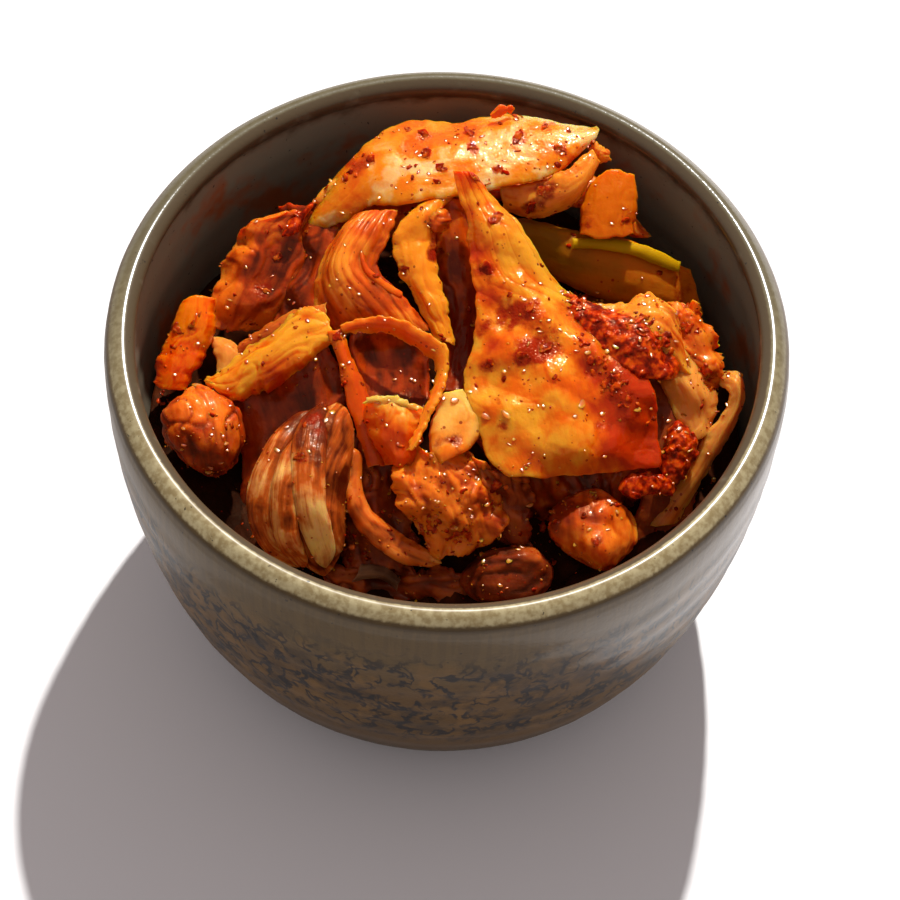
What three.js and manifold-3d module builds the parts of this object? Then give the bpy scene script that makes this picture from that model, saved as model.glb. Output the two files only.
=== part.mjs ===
// Kimchi heaped in a small stoneware bowl.
// Millimetres, +Z up, the bowl's axis is the Z axis and its foot stands on z = 0; -Y is the front.
import * as THREE from "three";
import Module from "manifold-3d";

const wasm = await Module();
wasm.setup();

// ---- the bowl ----
const BOWL_HEIGHT = 72;
const BULGE_RADIUS = 55.5; // the widest ring of the wall
const BULGE_HEIGHT = 67.7;
const FOOT_RADIUS = 31.5;
const FOOT_RING_WIDTH = 5;
const FOOT_RECESS = 1.5;
const FLOOR_THICKNESS = 7;
const INNER_RADIUS = 51.5; // the inside at the top of the wall
const INNER_TOP = 66;
const INNER_POWER = 3.2; // how square the inside turns into its floor
const LIP_RADIUS = 52.4; // the crown of the rounded lip
const BOWL_TURNS = 48; // faces round the bowl
const WALL_STEPS = 7;

// ---- the food ----
const GAP = 0.3; // clear space between any two solids
const BED_LEVEL = 38; // the sauced scraps at the wall
const BED_RISE = 18; // and how much higher they lie under the heap
const BED_CENTRE = [2, 12];
const BED_SPREAD = [24, 18];
const BED_EDGE_RISE = 5; // the scraps pushed up against the wall
const BED_EDGE_FROM = 34;
const BED_RINGS = 7;
const BED_TURNS = 28;
const SPAN_STEPS = 2; // rings of a piece between two of its stations
const FACE_POINTS = 5; // points across the upper face of a piece
const UP_FRONT = new THREE.Vector3(0, -0.6, 0.8); // the side that a piece's face looks to

// Radius of the outside of the wall at a height.
function outerRadius(z) {
  const drop = (BULGE_HEIGHT - z) / BULGE_HEIGHT;
  return FOOT_RADIUS + (BULGE_RADIUS - FOOT_RADIUS) * Math.sqrt(1 - drop * drop);
}

// Radius of the inside of the wall at a height.
function innerRadius(z) {
  if (z >= INNER_TOP) return INNER_RADIUS;
  const drop = Math.min(1, (INNER_TOP - z) / (INNER_TOP - FLOOR_THICKNESS));
  return INNER_RADIUS * Math.pow(1 - Math.pow(drop, INNER_POWER), 1 / INNER_POWER);
}

// The thrown bowl: a recessed foot ring, a full round wall and a narrow rounded lip with a small ledge inside.
function bowlSolid() {
  const ringInner = FOOT_RADIUS - FOOT_RING_WIDTH;
  const profile = [
    [0, FOOT_RECESS],
    [ringInner - FOOT_RECESS, FOOT_RECESS],
    [ringInner, 0],
    [FOOT_RADIUS, 0],
  ];
  for (let i = 1; i <= WALL_STEPS; i++) {
    const angle = (i / WALL_STEPS) * (Math.PI / 2);
    const z = BULGE_HEIGHT * (1 - Math.cos(angle));
    profile.push([outerRadius(z), z]);
  }
  profile.push(
    [BULGE_RADIUS - 0.6, BULGE_HEIGHT + 2],
    [LIP_RADIUS + 1.6, BOWL_HEIGHT - 0.8],
    [LIP_RADIUS + 0.6, BOWL_HEIGHT],
    [LIP_RADIUS - 0.2, BOWL_HEIGHT],
    [LIP_RADIUS - 0.7, BOWL_HEIGHT - 0.8],
    [INNER_RADIUS + 0.5, BOWL_HEIGHT - 3.4],
    [INNER_RADIUS, BOWL_HEIGHT - 4.2],
  );
  for (let i = 0; i < WALL_STEPS; i++) {
    const angle = (i / WALL_STEPS) * (Math.PI / 2);
    const z = INNER_TOP - (INNER_TOP - FLOOR_THICKNESS) * Math.sin(angle);
    profile.push([innerRadius(z), z]);
  }
  profile.push([0, FLOOR_THICKNESS]);
  const points = profile.map(([r, z]) => new THREE.Vector2(r, z));
  const lathe = new THREE.LatheGeometry(points, BOWL_TURNS).rotateX(Math.PI / 2);
  return solidOfGeometry(lathe);
}

// Small steady unevenness, so that the heap has no two equal sides.
function unevenness(x, y) {
  return Math.sin(0.33 * x + 1.1) * Math.cos(0.29 * y - 0.4) + 0.5 * Math.sin(0.71 * x - 0.53 * y);
}

// Height of the top of the bed over a point of the bowl.
function bedHeight(x, y) {
  const dx = (x - BED_CENTRE[0]) / BED_SPREAD[0];
  const dy = (y - BED_CENTRE[1]) / BED_SPREAD[1];
  const edge = Math.max(0, (Math.hypot(x, y) - BED_EDGE_FROM) / (INNER_RADIUS - BED_EDGE_FROM));
  const level = BED_LEVEL + BED_EDGE_RISE * Math.sqrt(edge);
  return level + BED_RISE * Math.exp(-(dx * dx + dy * dy) / 2) + 0.9 * unevenness(x, y);
}

// The bed: leaf ends, scraps, paste and brine that fill the bowl under the pieces, as one solid out to its outline.
function bedSolid() {
  const vertices = [];
  const triangles = [];
  const ring = (row, i) => 1 + row * BED_TURNS + (i % BED_TURNS);
  const join = (a, b, c) => triangles.push(a, b, c);
  vertices.push(0, 0, bedHeight(0, 0));
  for (let row = 1; row <= BED_RINGS; row++)
    for (let i = 0; i < BED_TURNS; i++) {
      const angle = (i / BED_TURNS) * 2 * Math.PI;
      const reach = (innerRadius(BED_LEVEL - 3) - 2 * GAP) * Math.pow(row / BED_RINGS, 0.85);
      const x = reach * Math.cos(angle);
      const y = reach * Math.sin(angle);
      vertices.push(x, y, bedHeight(x, y) - (row === BED_RINGS ? 1.5 : 0));
    }
  const depths = [0.75, 0.45, 0.2, 0.05];
  for (const depth of depths) {
    const z = FLOOR_THICKNESS + 2 * GAP + depth * (BED_LEVEL - FLOOR_THICKNESS);
    for (let i = 0; i < BED_TURNS; i++) {
      const angle = (i / BED_TURNS) * 2 * Math.PI;
      const reach = innerRadius(z - GAP) - 2 * GAP;
      vertices.push(reach * Math.cos(angle), reach * Math.sin(angle), z);
    }
  }
  const rows = BED_RINGS + depths.length;
  const foot = vertices.length / 3;
  vertices.push(0, 0, FLOOR_THICKNESS + 2 * GAP);
  for (let i = 0; i < BED_TURNS; i++) {
    join(0, ring(0, i), ring(0, i + 1));
    for (let row = 0; row < rows - 1; row++) {
      join(ring(row, i), ring(row + 1, i), ring(row + 1, i + 1));
      join(ring(row, i), ring(row + 1, i + 1), ring(row, i + 1));
    }
    join(ring(rows - 1, i), foot, ring(rows - 1, i + 1));
  }
  return solidOf(vertices, triangles);
}

// ---- pieces of vegetable ----
// A piece runs along its stations. A station is the middle of the upper face (x, y, z), half of the width there
// as a vector, and how far the middle rises over the two edges. `thick` is measured down from the face, and
// `edge` is the share of it that is left at the edges: 1 for a cut slab, less for a leaf. A `round` piece has an
// elliptical section.
const PIECES = [
  {
    name: "crown_stem",
    colour: "#f2c98c",
    thick: 5,
    edge: 0.8,
    stations: [
      [-27, 24.5, 63, -0.5, 0.5, 0.3, 0.5],
      [-17, 32, 71, -1.3, 1.9, 0.5, 1],
      [-11, 34.5, 74, -1.6, 4, 1, 1],
      [-2.5, 34.5, 75.5, -0.8, 4.6, 1.4, 1],
      [7, 36, 76, -0.2, 5.1, 1.3, 1],
      [16, 37.5, 75, 0.7, 4.1, 1.2, 0.8],
      [22, 39, 74, 0.7, 2.6, 1, 0.5],
    ],
  },
  {
    name: "front_leaf",
    colour: "#e08a1c",
    thick: 2,
    edge: 0.4,
    stations: [
      [1, 28.5, 75.5, 1.6, 0, 0, 0.5],
      [4.5, 24.5, 73.2, 3, 0.6, -0.2, 1],
      [8, 17.5, 70.2, 5.3, 0.6, -0.3, 1.5],
      [12.5, 11.5, 66.8, 8.1, 1, -0.3, 2],
      [16.5, 3.5, 64.2, 12.1, 0.8, 0.3, 2.5],
      [18, -3, 62, 15.3, 1, 0, 3],
      [20.5, -9, 59.2, 14.8, 1.5, -0.8, 3],
      [21.5, -14.5, 56, 13.9, 1.1, -1.5, 2],
    ],
  },
  {
    name: "under_leaf",
    colour: "#c56a24",
    thick: 2.4,
    edge: 0.5,
    stations: [
      [7.5, 29, 68.5, -0.7, 0.8, 2.5, 0.6],
      [12.5, 29, 68.5, -0.5, 1.5, 3, 0.8],
      [17, 30, 69, -0.5, 1.8, 3, 0.8],
      [21, 33.5, 70.3, -0.6, 1.9, 2.8, 0.6],
      [25.5, 37, 73.3, -0.8, 0.7, 0.7, 0.3],
    ],
  },
  {
    name: "radish_block",
    colour: "#d4761c",
    thick: 5,
    edge: 1,
    stations: [
      [26.5, 34, 70, 2.5, 0.2, 0, 0.5],
      [25.5, 31, 65.5, 4.6, 0.3, 0, 0.8],
      [25, 28.5, 60, 4.3, 0.3, 0, 0.5],
    ],
  },
  {
    name: "green_slice",
    colour: "#9a6a14",
    thick: 5,
    edge: 1,
    stations: [
      [11, 25.5, 60.8, 0, 1, 2.8, 0],
      [18.5, 23.5, 60.5, 0.4, 2.5, 3.5, 0.5],
      [27, 22, 59.8, 0.3, 4, 3.8, 0.6],
      [34, 21.5, 58.8, -0.3, 4.2, 3.2, 0.5],
      [40.5, 22, 56.5, -1.3, 2.9, 2.5, 0],
    ],
  },
  {
    name: "paste_patch",
    colour: "#a81e08",
    thick: 3,
    edge: 0.3,
    round: true,
    stations: [
      [22, 8.5, 67.2, 1.2, 2, 0, 1],
      [26, 5.5, 67, 1, 4.6, 1.2, 1.8],
      [31, 2.5, 66, 0.5, 5.6, 1.8, 2],
      [35, 0.5, 64, 0, 4, 1.5, 1.4],
    ],
  },
  {
    name: "right_fold",
    colour: "#d4601a",
    thick: 2.6,
    edge: 0.5,
    stations: [
      [22, 7, 65, -0.2, 3.6, 0.5, 0.5],
      [26, 5.5, 65.5, -0.1, 3.9, 0.5, 0.8],
      [33, 6.5, 66.4, -0.2, 5, 1.6, 1],
      [37.5, 5, 64.2, -0.2, 2.6, 1.8, 0.8],
      [39.5, 3, 61.5, -0.6, 1.1, 1.5, 0.4],
    ],
  },
  {
    name: "right_leaf",
    colour: "#cf5a14",
    thick: 2.4,
    edge: 0.5,
    stations: [
      [39, 12, 64, 2, 0.1, -0.1, 0.4],
      [41, 8.5, 62.2, 2.8, 0.6, -0.2, 0.6],
      [42.5, 5, 60.2, 2.2, 0.7, -0.2, 0.6],
      [45.2, 1.3, 57, 1.1, 0.4, 0.1, 0.3],
    ],
  },
  {
    name: "right_stem",
    colour: "#c98a52",
    thick: 4,
    edge: 0.7,
    stations: [
      [38, 5, 61.5, 1.8, 0.4, 0.5, 0.5],
      [39.5, 1, 59.5, 3.4, 1.1, 0, 1.2],
      [41.5, -2, 56.5, 3.9, 1.3, 0, 1.2],
      [42.5, -5.5, 53.4, 1.8, 1.2, 0.1, 0.5],
    ],
  },
  {
    name: "right_strip",
    colour: "#b5651f",
    thick: 1.8,
    edge: 0.6,
    stations: [
      [45, 3, 58, 0.4, 1.2, 0.5, 0.3],
      [47.5, 1, 59.4, 0.9, 1.6, 0.6, 0.5],
      [47.7, -2, 56.8, 1.5, 0.7, 0.2, 0.6],
      [44.8, -6.2, 52.8, 2.2, 0.6, -0.2, 0.8],
      [42.4, -10.2, 49.2, 2.1, 0.8, -0.2, 0.8],
      [37.3, -17.3, 43.5, 2.3, 0.4, 0, 0.8],
    ],
  },
  {
    name: "paste_right",
    colour: "#b0200a",
    thick: 3,
    edge: 0.3,
    round: true,
    stations: [
      [38, -5, 55.8, 1.4, 0.6, 0, 0.8],
      [39, -8.5, 54.2, 3, 1, 0, 2],
      [38.5, -12, 51.6, 2.6, 0.6, 0, 1.6],
      [37, -14.5, 49.8, 1, 0.2, 0, 0.6],
    ],
  },
  {
    name: "paste_low",
    colour: "#c22c0c",
    thick: 2.6,
    edge: 0.3,
    round: true,
    stations: [
      [29, -16.5, 53, -0.3, 0.9, 0.4, 0.6],
      [32, -16, 53, -0.2, 1.8, 0.8, 1.4],
      [36, -14.8, 52, 0, 1.6, 0.8, 1.2],
      [38.5, -14.8, 50, 0, 0.8, 0.4, 0.5],
    ],
  },
  {
    name: "right_knob",
    colour: "#a9561a",
    thick: 7,
    edge: 0.3,
    round: true,
    stations: [
      [25, -16.5, 52, 4.6, 0.3, 0, 2],
      [25, -20, 49.2, 6.9, 0.4, -0.2, 4.5],
      [26, -23.5, 46.2, 6.7, 0.6, -0.2, 4.5],
      [27.5, -26.3, 43, 3.4, 0.9, 0, 2.5],
    ],
  },
  {
    name: "dark_knob",
    colour: "#6a2a12",
    thick: 7,
    edge: 0.3,
    round: true,
    stations: [
      [4, -29, 41.2, -0.1, 1.8, 1.2, 2],
      [8.3, -28, 41.5, -0.2, 3.4, 2.5, 4],
      [14, -27.5, 42.2, -0.2, 3.8, 2.8, 4.5],
      [19.3, -26.8, 42.3, -0.4, 2, 2.2, 2.5],
    ],
  },
  {
    name: "loop_band",
    colour: "#d86a18",
    thick: 0.9,
    edge: 0.8,
    stations: [
      [-17.3, 3.7, 64.5, -0.5, 0.4, 0.5, 0.2],
      [-14, 5, 64.5, -0.3, 0.7, 1.1, 0.3],
      [-8.6, 4.5, 64.5, 0, 0.7, 1.5, 0.3],
      [-2.7, 1.8, 63.7, 0.8, 0.7, 1.5, 0.3],
      [-1.1, -1, 63.2, 1, 0.4, 1.2, 0.3],
      [-2.1, -7.3, 62.2, 1, -0.1, 0.6, 0.3],
      [-5.4, -15.8, 60, 0.5, -0.2, 0.2, 0.1],
    ],
  },
  {
    name: "loop_arm",
    colour: "#c8480e",
    thick: 1,
    edge: 0.7,
    stations: [
      [-18.4, 4, 64, 1.4, 0.5, 0, 0.4],
      [-17, 0.3, 62.3, 1.3, 0.3, 0, 0.5],
      [-14.8, -4.3, 60, 1.8, 0.3, 0, 0.5],
      [-12, -11.6, 56, 1.5, 0.2, 0, 0.4],
    ],
  },
  {
    name: "chunk_right",
    colour: "#f0ae5a",
    thick: 4,
    edge: 0.9,
    stations: [
      [1, -5.6, 62, 1.8, 0.7, 0, 0.3],
      [1.8, -8.6, 61.5, 3.5, 0.7, 0, 0.6],
      [2.2, -11.3, 60, 4.3, 1.4, 0, 0.6],
      [1.6, -14.2, 58, 3.2, 0.8, 0, 0.5],
      [1, -15.3, 56.8, 1.1, 0.6, 0.2, 0.3],
    ],
  },
  {
    name: "chunk_left",
    colour: "#dc7a24",
    thick: 4.5,
    edge: 0.8,
    stations: [
      [-8.5, -8.2, 61.2, 4.6, 0, 0.2, 1],
      [-8, -10.5, 60.2, 4.5, 0.1, 0.2, 2],
      [-8, -12.7, 58.2, 2.9, 0, 0.2, 2],
      [-7.5, -14.4, 56.2, 1.3, 0.2, 0.2, 1],
    ],
  },
  {
    name: "crumple_leaf",
    colour: "#9c4212",
    thick: 3,
    edge: 0.5,
    stations: [
      [-1.2, -14, 57.2, 5.4, 0, 0.2, 1],
      [0.7, -17.7, 55, 8.4, 0.6, 0, 2.5],
      [2.2, -21, 51.8, 8.8, 0.8, -0.2, 3],
      [3.4, -24.3, 48.2, 6.3, 0.7, -0.2, 2.5],
      [2.7, -27.3, 46, 2.4, 0.3, 0, 1],
    ],
  },
  {
    name: "crumple_side",
    colour: "#7a1e10",
    thick: 2.4,
    edge: 0.5,
    stations: [
      [9.2, -15.8, 55.5, 3.6, -0.8, -0.5, 0.8],
      [11.4, -18.3, 52.2, 3.3, -0.3, -0.2, 1.5],
      [12, -21.3, 49, 2, -0.3, 0, 0.8],
    ],
  },
  {
    name: "hook_strip",
    colour: "#a8440f",
    thick: 2.2,
    edge: 0.4,
    round: true,
    stations: [
      [-14.5, -13, 55, 1.4, -0.1, 0, 0.8],
      [-14.3, -18.9, 52.2, 1.5, 0.3, -0.2, 1.2],
      [-12.5, -22.7, 49.8, 1.5, 1, 0.2, 1.4],
      [-8.2, -25.5, 47.5, 1.3, 1.5, 0.5, 1.4],
      [-3.8, -27.2, 46.2, 0.4, 1.6, 0.8, 1.2],
      [0.7, -27.9, 45, 0.2, 0.5, 0.2, 0.4],
    ],
  },
  {
    name: "left_strip",
    colour: "#ea8c16",
    thick: 2.4,
    edge: 0.4,
    stations: [
      [-39.5, -1.8, 55.6, -0.1, 0.5, 0.1, 0.2],
      [-35.6, -2, 56.8, -0.5, 2.5, 1.1, 0.6],
      [-29.3, 1.1, 59.5, -0.2, 4.3, 1.5, 1],
      [-23.3, 4.1, 62.6, -0.1, 4.3, 1.1, 0.8],
      [-19.3, 4.3, 63.8, -0.2, 2, 0.2, 0.3],
    ],
  },
  {
    name: "ribbed_leaf",
    colour: "#b5521a",
    thick: 2.6,
    edge: 0.4,
    stations: [
      [-13.4, 24.7, 68.7, 3.8, 0.1, 0.8, 1.5],
      [-15.6, 20.3, 67.5, 4.8, 0, 1, 3],
      [-17.4, 15.5, 65.4, 5, 0, 1.2, 3.4],
      [-15.7, 11.4, 63.7, 6.9, 0.3, 1.4, 3],
      [-13, 8.3, 61.9, 8.1, 0.6, 1.1, 2],
      [-10.6, 6.8, 60.3, 7.4, 0, 1.3, 1],
    ],
  },
  {
    name: "centre_strip",
    colour: "#e28a1c",
    thick: 2.4,
    edge: 0.5,
    stations: [
      [-5.6, 24, 70.5, 2.9, 1.3, 0.5, 0.8],
      [-6.3, 19.5, 67.8, 3.3, 0.3, 0.2, 1.4],
      [-5.2, 15, 64.6, 3.1, -0.4, 0, 1.4],
      [-3.1, 11.8, 61.9, 2.7, -0.9, -0.1, 1],
      [-0.5, 7.6, 58.2, 1.3, -0.4, -0.2, 0.4],
    ],
  },
  {
    name: "left_knob",
    colour: "#93330e",
    thick: 7,
    edge: 0.3,
    round: true,
    stations: [
      [-41.4, -3.3, 57, 1.8, 1.5, 0, 1.5],
      [-40.6, -6.2, 55.6, 5.3, 1.2, 0.2, 4],
      [-39.3, -9.5, 53.2, 6.5, 1.1, 0.2, 4.8],
      [-38, -13, 49.9, 4.6, 0.4, 0.1, 4],
      [-37, -15.2, 46.5, 1.1, 0.1, 0, 1.5],
    ],
  },
  {
    name: "carrot_stick",
    colour: "#e65c00",
    thick: 5,
    edge: 1,
    stations: [
      [-41.7, 11.8, 59.8, 2.6, 0.4, -0.2, 0.3],
      [-42.5, 7.4, 57.8, 3.5, 0, -0.2, 0.4],
      [-44.2, 3.2, 55.2, 3.6, -0.1, -0.3, 0.4],
      [-46, -0.7, 52.2, 2.7, -0.4, -0.3, 0.3],
    ],
  },
  {
    name: "rolled_stem",
    colour: "#b8713e",
    thick: 6,
    edge: 0.3,
    round: true,
    stations: [
      [-18, -5.8, 58, 2, 0.5, 0, 1.5],
      [-19.8, -10.8, 57.2, 4.9, -0.3, 0.2, 4],
      [-22.5, -16.6, 54, 7.4, -0.3, 0.5, 5.5],
      [-23.4, -21.9, 50, 7.6, 0.2, 0.5, 6],
      [-21.9, -25.5, 46.8, 6.3, 0, 0.5, 5],
      [-18.3, -29.8, 41.9, 1.8, 0.1, 0.1, 1.5],
    ],
  },
  {
    name: "back_left_leaf",
    colour: "#8c2c10",
    thick: 2.6,
    edge: 0.5,
    stations: [
      [-35.4, 11.9, 51.5, 4.2, 0.2, -0.5, 0.8],
      [-33.2, 15.2, 53.8, 6.7, -1.3, -0.7, 1.6],
      [-30.3, 19.8, 57.2, 7.9, -2, -0.8, 2],
      [-28, 26, 61.4, 6.5, -0.7, -0.4, 1.6],
      [-25.8, 28, 64, 3, 0.1, 0, 0.5],
    ],
  },
  {
    name: "pale_bit",
    colour: "#c8884a",
    thick: 2,
    edge: 0.7,
    stations: [
      [-38, 8.3, 54, 1.6, -0.1, 0, 0.3],
      [-36.6, 5.6, 53.5, 2.3, 0.3, 0, 0.5],
      [-36.7, 2.9, 52.7, 1.5, 0.6, 0.3, 0.3],
    ],
  },
  {
    name: "loop_cup",
    colour: "#7c1608",
    thick: 1.6,
    edge: 0.7,
    stations: [
      [-10.2, 5.6, 62.2, 6.1, 0.4, -0.2, -1],
      [-9.4, 3.2, 60, 6.6, 0.7, 0, -2.5],
      [-8.8, 0.4, 57.7, 6.1, 0.6, 0.3, -2],
    ],
  },
  {
    name: "dark_leaf",
    colour: "#5a1c0a",
    thick: 2.4,
    edge: 0.5,
    stations: [
      [-1, 28.7, 68.5, 3.3, 0.2, 0, 0.8],
      [0.9, 22, 63.7, 3.8, 0.5, -0.2, 1],
      [2.4, 15.3, 58.7, 3.2, 0.4, -0.2, 1],
      [2.2, 7.6, 54.6, 2.2, 0.3, -0.2, 0.6],
    ],
  },
  {
    name: "onion_slip",
    colour: "#5e4438",
    thick: 1.4,
    edge: 0.7,
    stations: [
      [-13, -29, 42, 0.6, 1.2, 1, 0.4],
      [-9, -28.7, 42.2, 0.4, 0.7, 0.8, 0.6],
      [-6, -30, 40.9, 0.3, 0.8, 0.6, 0.3],
    ],
  },
  {
    name: "paste_back",
    colour: "#a02008",
    thick: 3,
    edge: 0.3,
    round: true,
    stations: [
      [-28.5, 25, 62.5, 0.9, 0.2, 0, 0.8],
      [-27.2, 28, 65, 2.1, 0.4, 0, 1.6],
      [-25, 30.5, 66.5, 1.8, 0.4, 0.2, 1.2],
      [-22.5, 33, 68.5, 0.9, 0.4, 0.2, 0.6],
    ],
  },
  {
    name: "rear_leaf_left",
    colour: "#b5521a",
    thick: 3,
    edge: 0.5,
    stations: [
      [-21, 33, 65, -3, -4, 0, 1],
      [-13, 39, 66, -3, -5, 2, 2],
      [-2, 42, 66, 0, -5, 3, 2],
      [6, 43, 65, 1, -4, 3, 1],
    ],
  },
  {
    name: "rear_leaf_right",
    colour: "#c56a24",
    thick: 3,
    edge: 0.5,
    stations: [
      [3, 40, 57, 1, -5, 3, 1],
      [13, 40, 60, 2, -5, 3, 2],
      [23, 38, 61, 3, -4, 2, 1.6],
      [31, 34, 58, 3, -3, 1, 0.8],
    ],
  },
];

// A smooth line through four stations in turn, for every one of a station's numbers.
function between(stations, index, share) {
  const pick = (i) => stations[Math.max(0, Math.min(stations.length - 1, i))];
  const [a, b, c, d] = [pick(index - 1), pick(index), pick(index + 1), pick(index + 2)];
  return b.map((_, k) => {
    const slopeIn = (c[k] - a[k]) / 2;
    const slopeOut = (d[k] - b[k]) / 2;
    const s = share;
    const s2 = s * s;
    const s3 = s2 * s;
    return (
      (2 * s3 - 3 * s2 + 1) * b[k] + (s3 - 2 * s2 + s) * slopeIn + (3 * s2 - 2 * s3) * c[k] + (s3 - s2) * slopeOut
    );
  });
}

// The rings of a piece from one end to the other: middle, half width, rise, and the way its face looks.
function ringsOf(piece) {
  const rows = [];
  for (let i = 0; i < piece.stations.length - 1; i++)
    for (let k = 0; k < SPAN_STEPS; k++) rows.push(between(piece.stations, i, k / SPAN_STEPS));
  rows.push(piece.stations[piece.stations.length - 1]);
  const rings = rows.map((row) => ({
    middle: new THREE.Vector3(row[0], row[1], row[2]),
    half: new THREE.Vector3(row[3], row[4], row[5]),
    rise: row[6],
  }));
  let looks = 0;
  rings.forEach((ring, i) => {
    const before = rings[Math.max(0, i - 1)].middle;
    const after = rings[Math.min(rings.length - 1, i + 1)].middle;
    ring.along = after.clone().sub(before).normalize();
    ring.face = ring.along.clone().cross(ring.half).normalize();
    looks += ring.face.dot(UP_FRONT);
  });
  if (looks < 0) rings.forEach((ring) => ring.face.negate());
  return rings;
}

// The closed section of a piece as pairs: place across the width (-1 to 1), and height over the two edges.
function sectionOf(piece, rise, grow) {
  const section = [];
  if (piece.round) {
    const count = 2 * FACE_POINTS;
    for (let i = 0; i < count; i++) {
      const angle = (i / count) * 2 * Math.PI;
      const height = Math.sin(angle) * (Math.sin(angle) > 0 ? Math.abs(rise) : piece.thick);
      section.push([Math.cos(angle), height + grow * Math.sin(angle)]);
    }
    return section;
  }
  for (let side = 0; side < 2; side++)
    for (let i = 0; i < FACE_POINTS; i++) {
      const across = (2 * i) / (FACE_POINTS - 1) - 1;
      const v = side ? across : -across;
      const crown = 1 - v * v;
      const depth = piece.thick * (piece.edge + (1 - piece.edge) * crown);
      section.push([v, rise * crown + (side ? -depth - grow : grow)]);
    }
  return section;
}

// One piece as a closed solid. `grow` pushes its whole outside out by that much.
function pieceSolid(piece, grow = 0) {
  const rings = ringsOf(piece);
  const vertices = [];
  const triangles = [];
  const count = 2 * FACE_POINTS;
  rings.forEach((ring, row) => {
    const end = row === 0 ? -grow : row === rings.length - 1 ? grow : 0;
    const width = 1 + grow / ring.half.length();
    for (const [v, height] of sectionOf(piece, ring.rise, grow)) {
      const point = ring.middle
        .clone()
        .addScaledVector(ring.half, v * width)
        .addScaledVector(ring.face, height)
        .addScaledVector(ring.along, end);
      vertices.push(point.x, point.y, point.z);
    }
  });
  for (let row = 0; row < rings.length - 1; row++)
    for (let i = 0; i < count; i++) {
      const a = row * count + i;
      const b = row * count + ((i + 1) % count);
      triangles.push(a, b, b + count, a, b + count, a + count);
    }
  const last = (rings.length - 1) * count;
  for (let i = 1; i < count - 1; i++) {
    triangles.push(0, i + 1, i);
    triangles.push(last, last + i, last + i + 1);
  }
  return solidOf(vertices, triangles);
}

// ---- solids ----
// A closed solid from shared vertices, turned so that its faces look outwards.
function solidOf(vertices, triangles) {
  const solid = (turned) => {
    const triVerts = new Uint32Array(triangles);
    if (turned)
      for (let i = 0; i < triVerts.length; i += 3)
        [triVerts[i + 1], triVerts[i + 2]] = [triVerts[i + 2], triVerts[i + 1]];
    const vertProperties = new Float32Array(vertices);
    return new wasm.Manifold(new wasm.Mesh({ numProp: 3, vertProperties, triVerts }));
  };
  const made = solid(false);
  return made.volume() < 0 ? solid(true) : made;
}

// A closed solid from a three.js geometry whose seam vertices are doubled.
function solidOfGeometry(geometry) {
  const position = geometry.getAttribute("position");
  const known = new Map();
  const vertices = [];
  const index = [];
  for (let i = 0; i < position.count; i++) {
    const point = [position.getX(i), position.getY(i), position.getZ(i)];
    const key = point.map((value) => Math.round(value * 1e4)).join(" ");
    if (!known.has(key)) {
      known.set(key, vertices.length / 3);
      vertices.push(...point);
    }
    index.push(known.get(key));
  }
  const triangles = [];
  for (let i = 0; i < geometry.index.count; i += 3) {
    const corner = [0, 1, 2].map((k) => index[geometry.index.getX(i + k)]);
    if (new Set(corner).size === 3) triangles.push(...corner);
  }
  return solidOf(vertices, triangles);
}

// The largest body of what a cut has left.
function largest(solid) {
  return solid.decompose().reduce((best, body) => (body.volume() > best.volume() ? body : best));
}

// A named mesh of a solid in its own colour.
function meshOf(name, solid, colour, roughness) {
  const mesh = solid.getMesh();
  const geometry = new THREE.BufferGeometry();
  const points = [];
  for (let i = 0; i < mesh.numVert; i++)
    points.push(...mesh.vertProperties.subarray(i * mesh.numProp, i * mesh.numProp + 3));
  geometry.setAttribute("position", new THREE.BufferAttribute(new Float32Array(points), 3));
  geometry.setIndex(new THREE.BufferAttribute(new Uint32Array(mesh.triVerts), 1));
  geometry.computeVertexNormals();
  const material = new THREE.MeshStandardMaterial({ color: colour, roughness, metalness: 0 });
  const made = new THREE.Mesh(geometry, material);
  made.name = name;
  return made;
}

// ---- the part ----
const group = new THREE.Group();
group.name = "kimchi_in_bowl";

const bowl = bowlSolid();
group.add(meshOf("bowl", bowl, "#5a4c34", 0.3));

// Each piece gives way to those listed before it, and keeps clear of them by the gap.
let taken = null;
for (const piece of PIECES) {
  let solid = pieceSolid(piece);
  if (taken) solid = largest(solid.subtract(taken));
  solid = largest(solid.subtract(bowl.translate(0, 0, GAP)).subtract(bowl.translate(0, 0, -GAP)));
  group.add(meshOf(piece.name, solid, piece.colour, 0.35));
  const grown = pieceSolid(piece, GAP);
  taken = taken ? taken.add(grown) : grown;
}
group.add(meshOf("kimchi_bed", largest(bedSolid().subtract(taken)), "#4a1408", 0.4));

export default group;
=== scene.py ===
"""Kimchi heaped in a small stoneware bowl: the finished looks around the CAD frame.

Sizes in the tables are millimetres and become metres when a mesh is made. Z is up, the bowl's
axis is the Z axis and -Y is the front. Colours are display values from 0 to 255.
"""

import logging
import math
from collections.abc import Sequence
from dataclasses import dataclass, field, replace
from enum import Enum

import bpy
import numpy as np
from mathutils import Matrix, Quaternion, Vector


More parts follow.
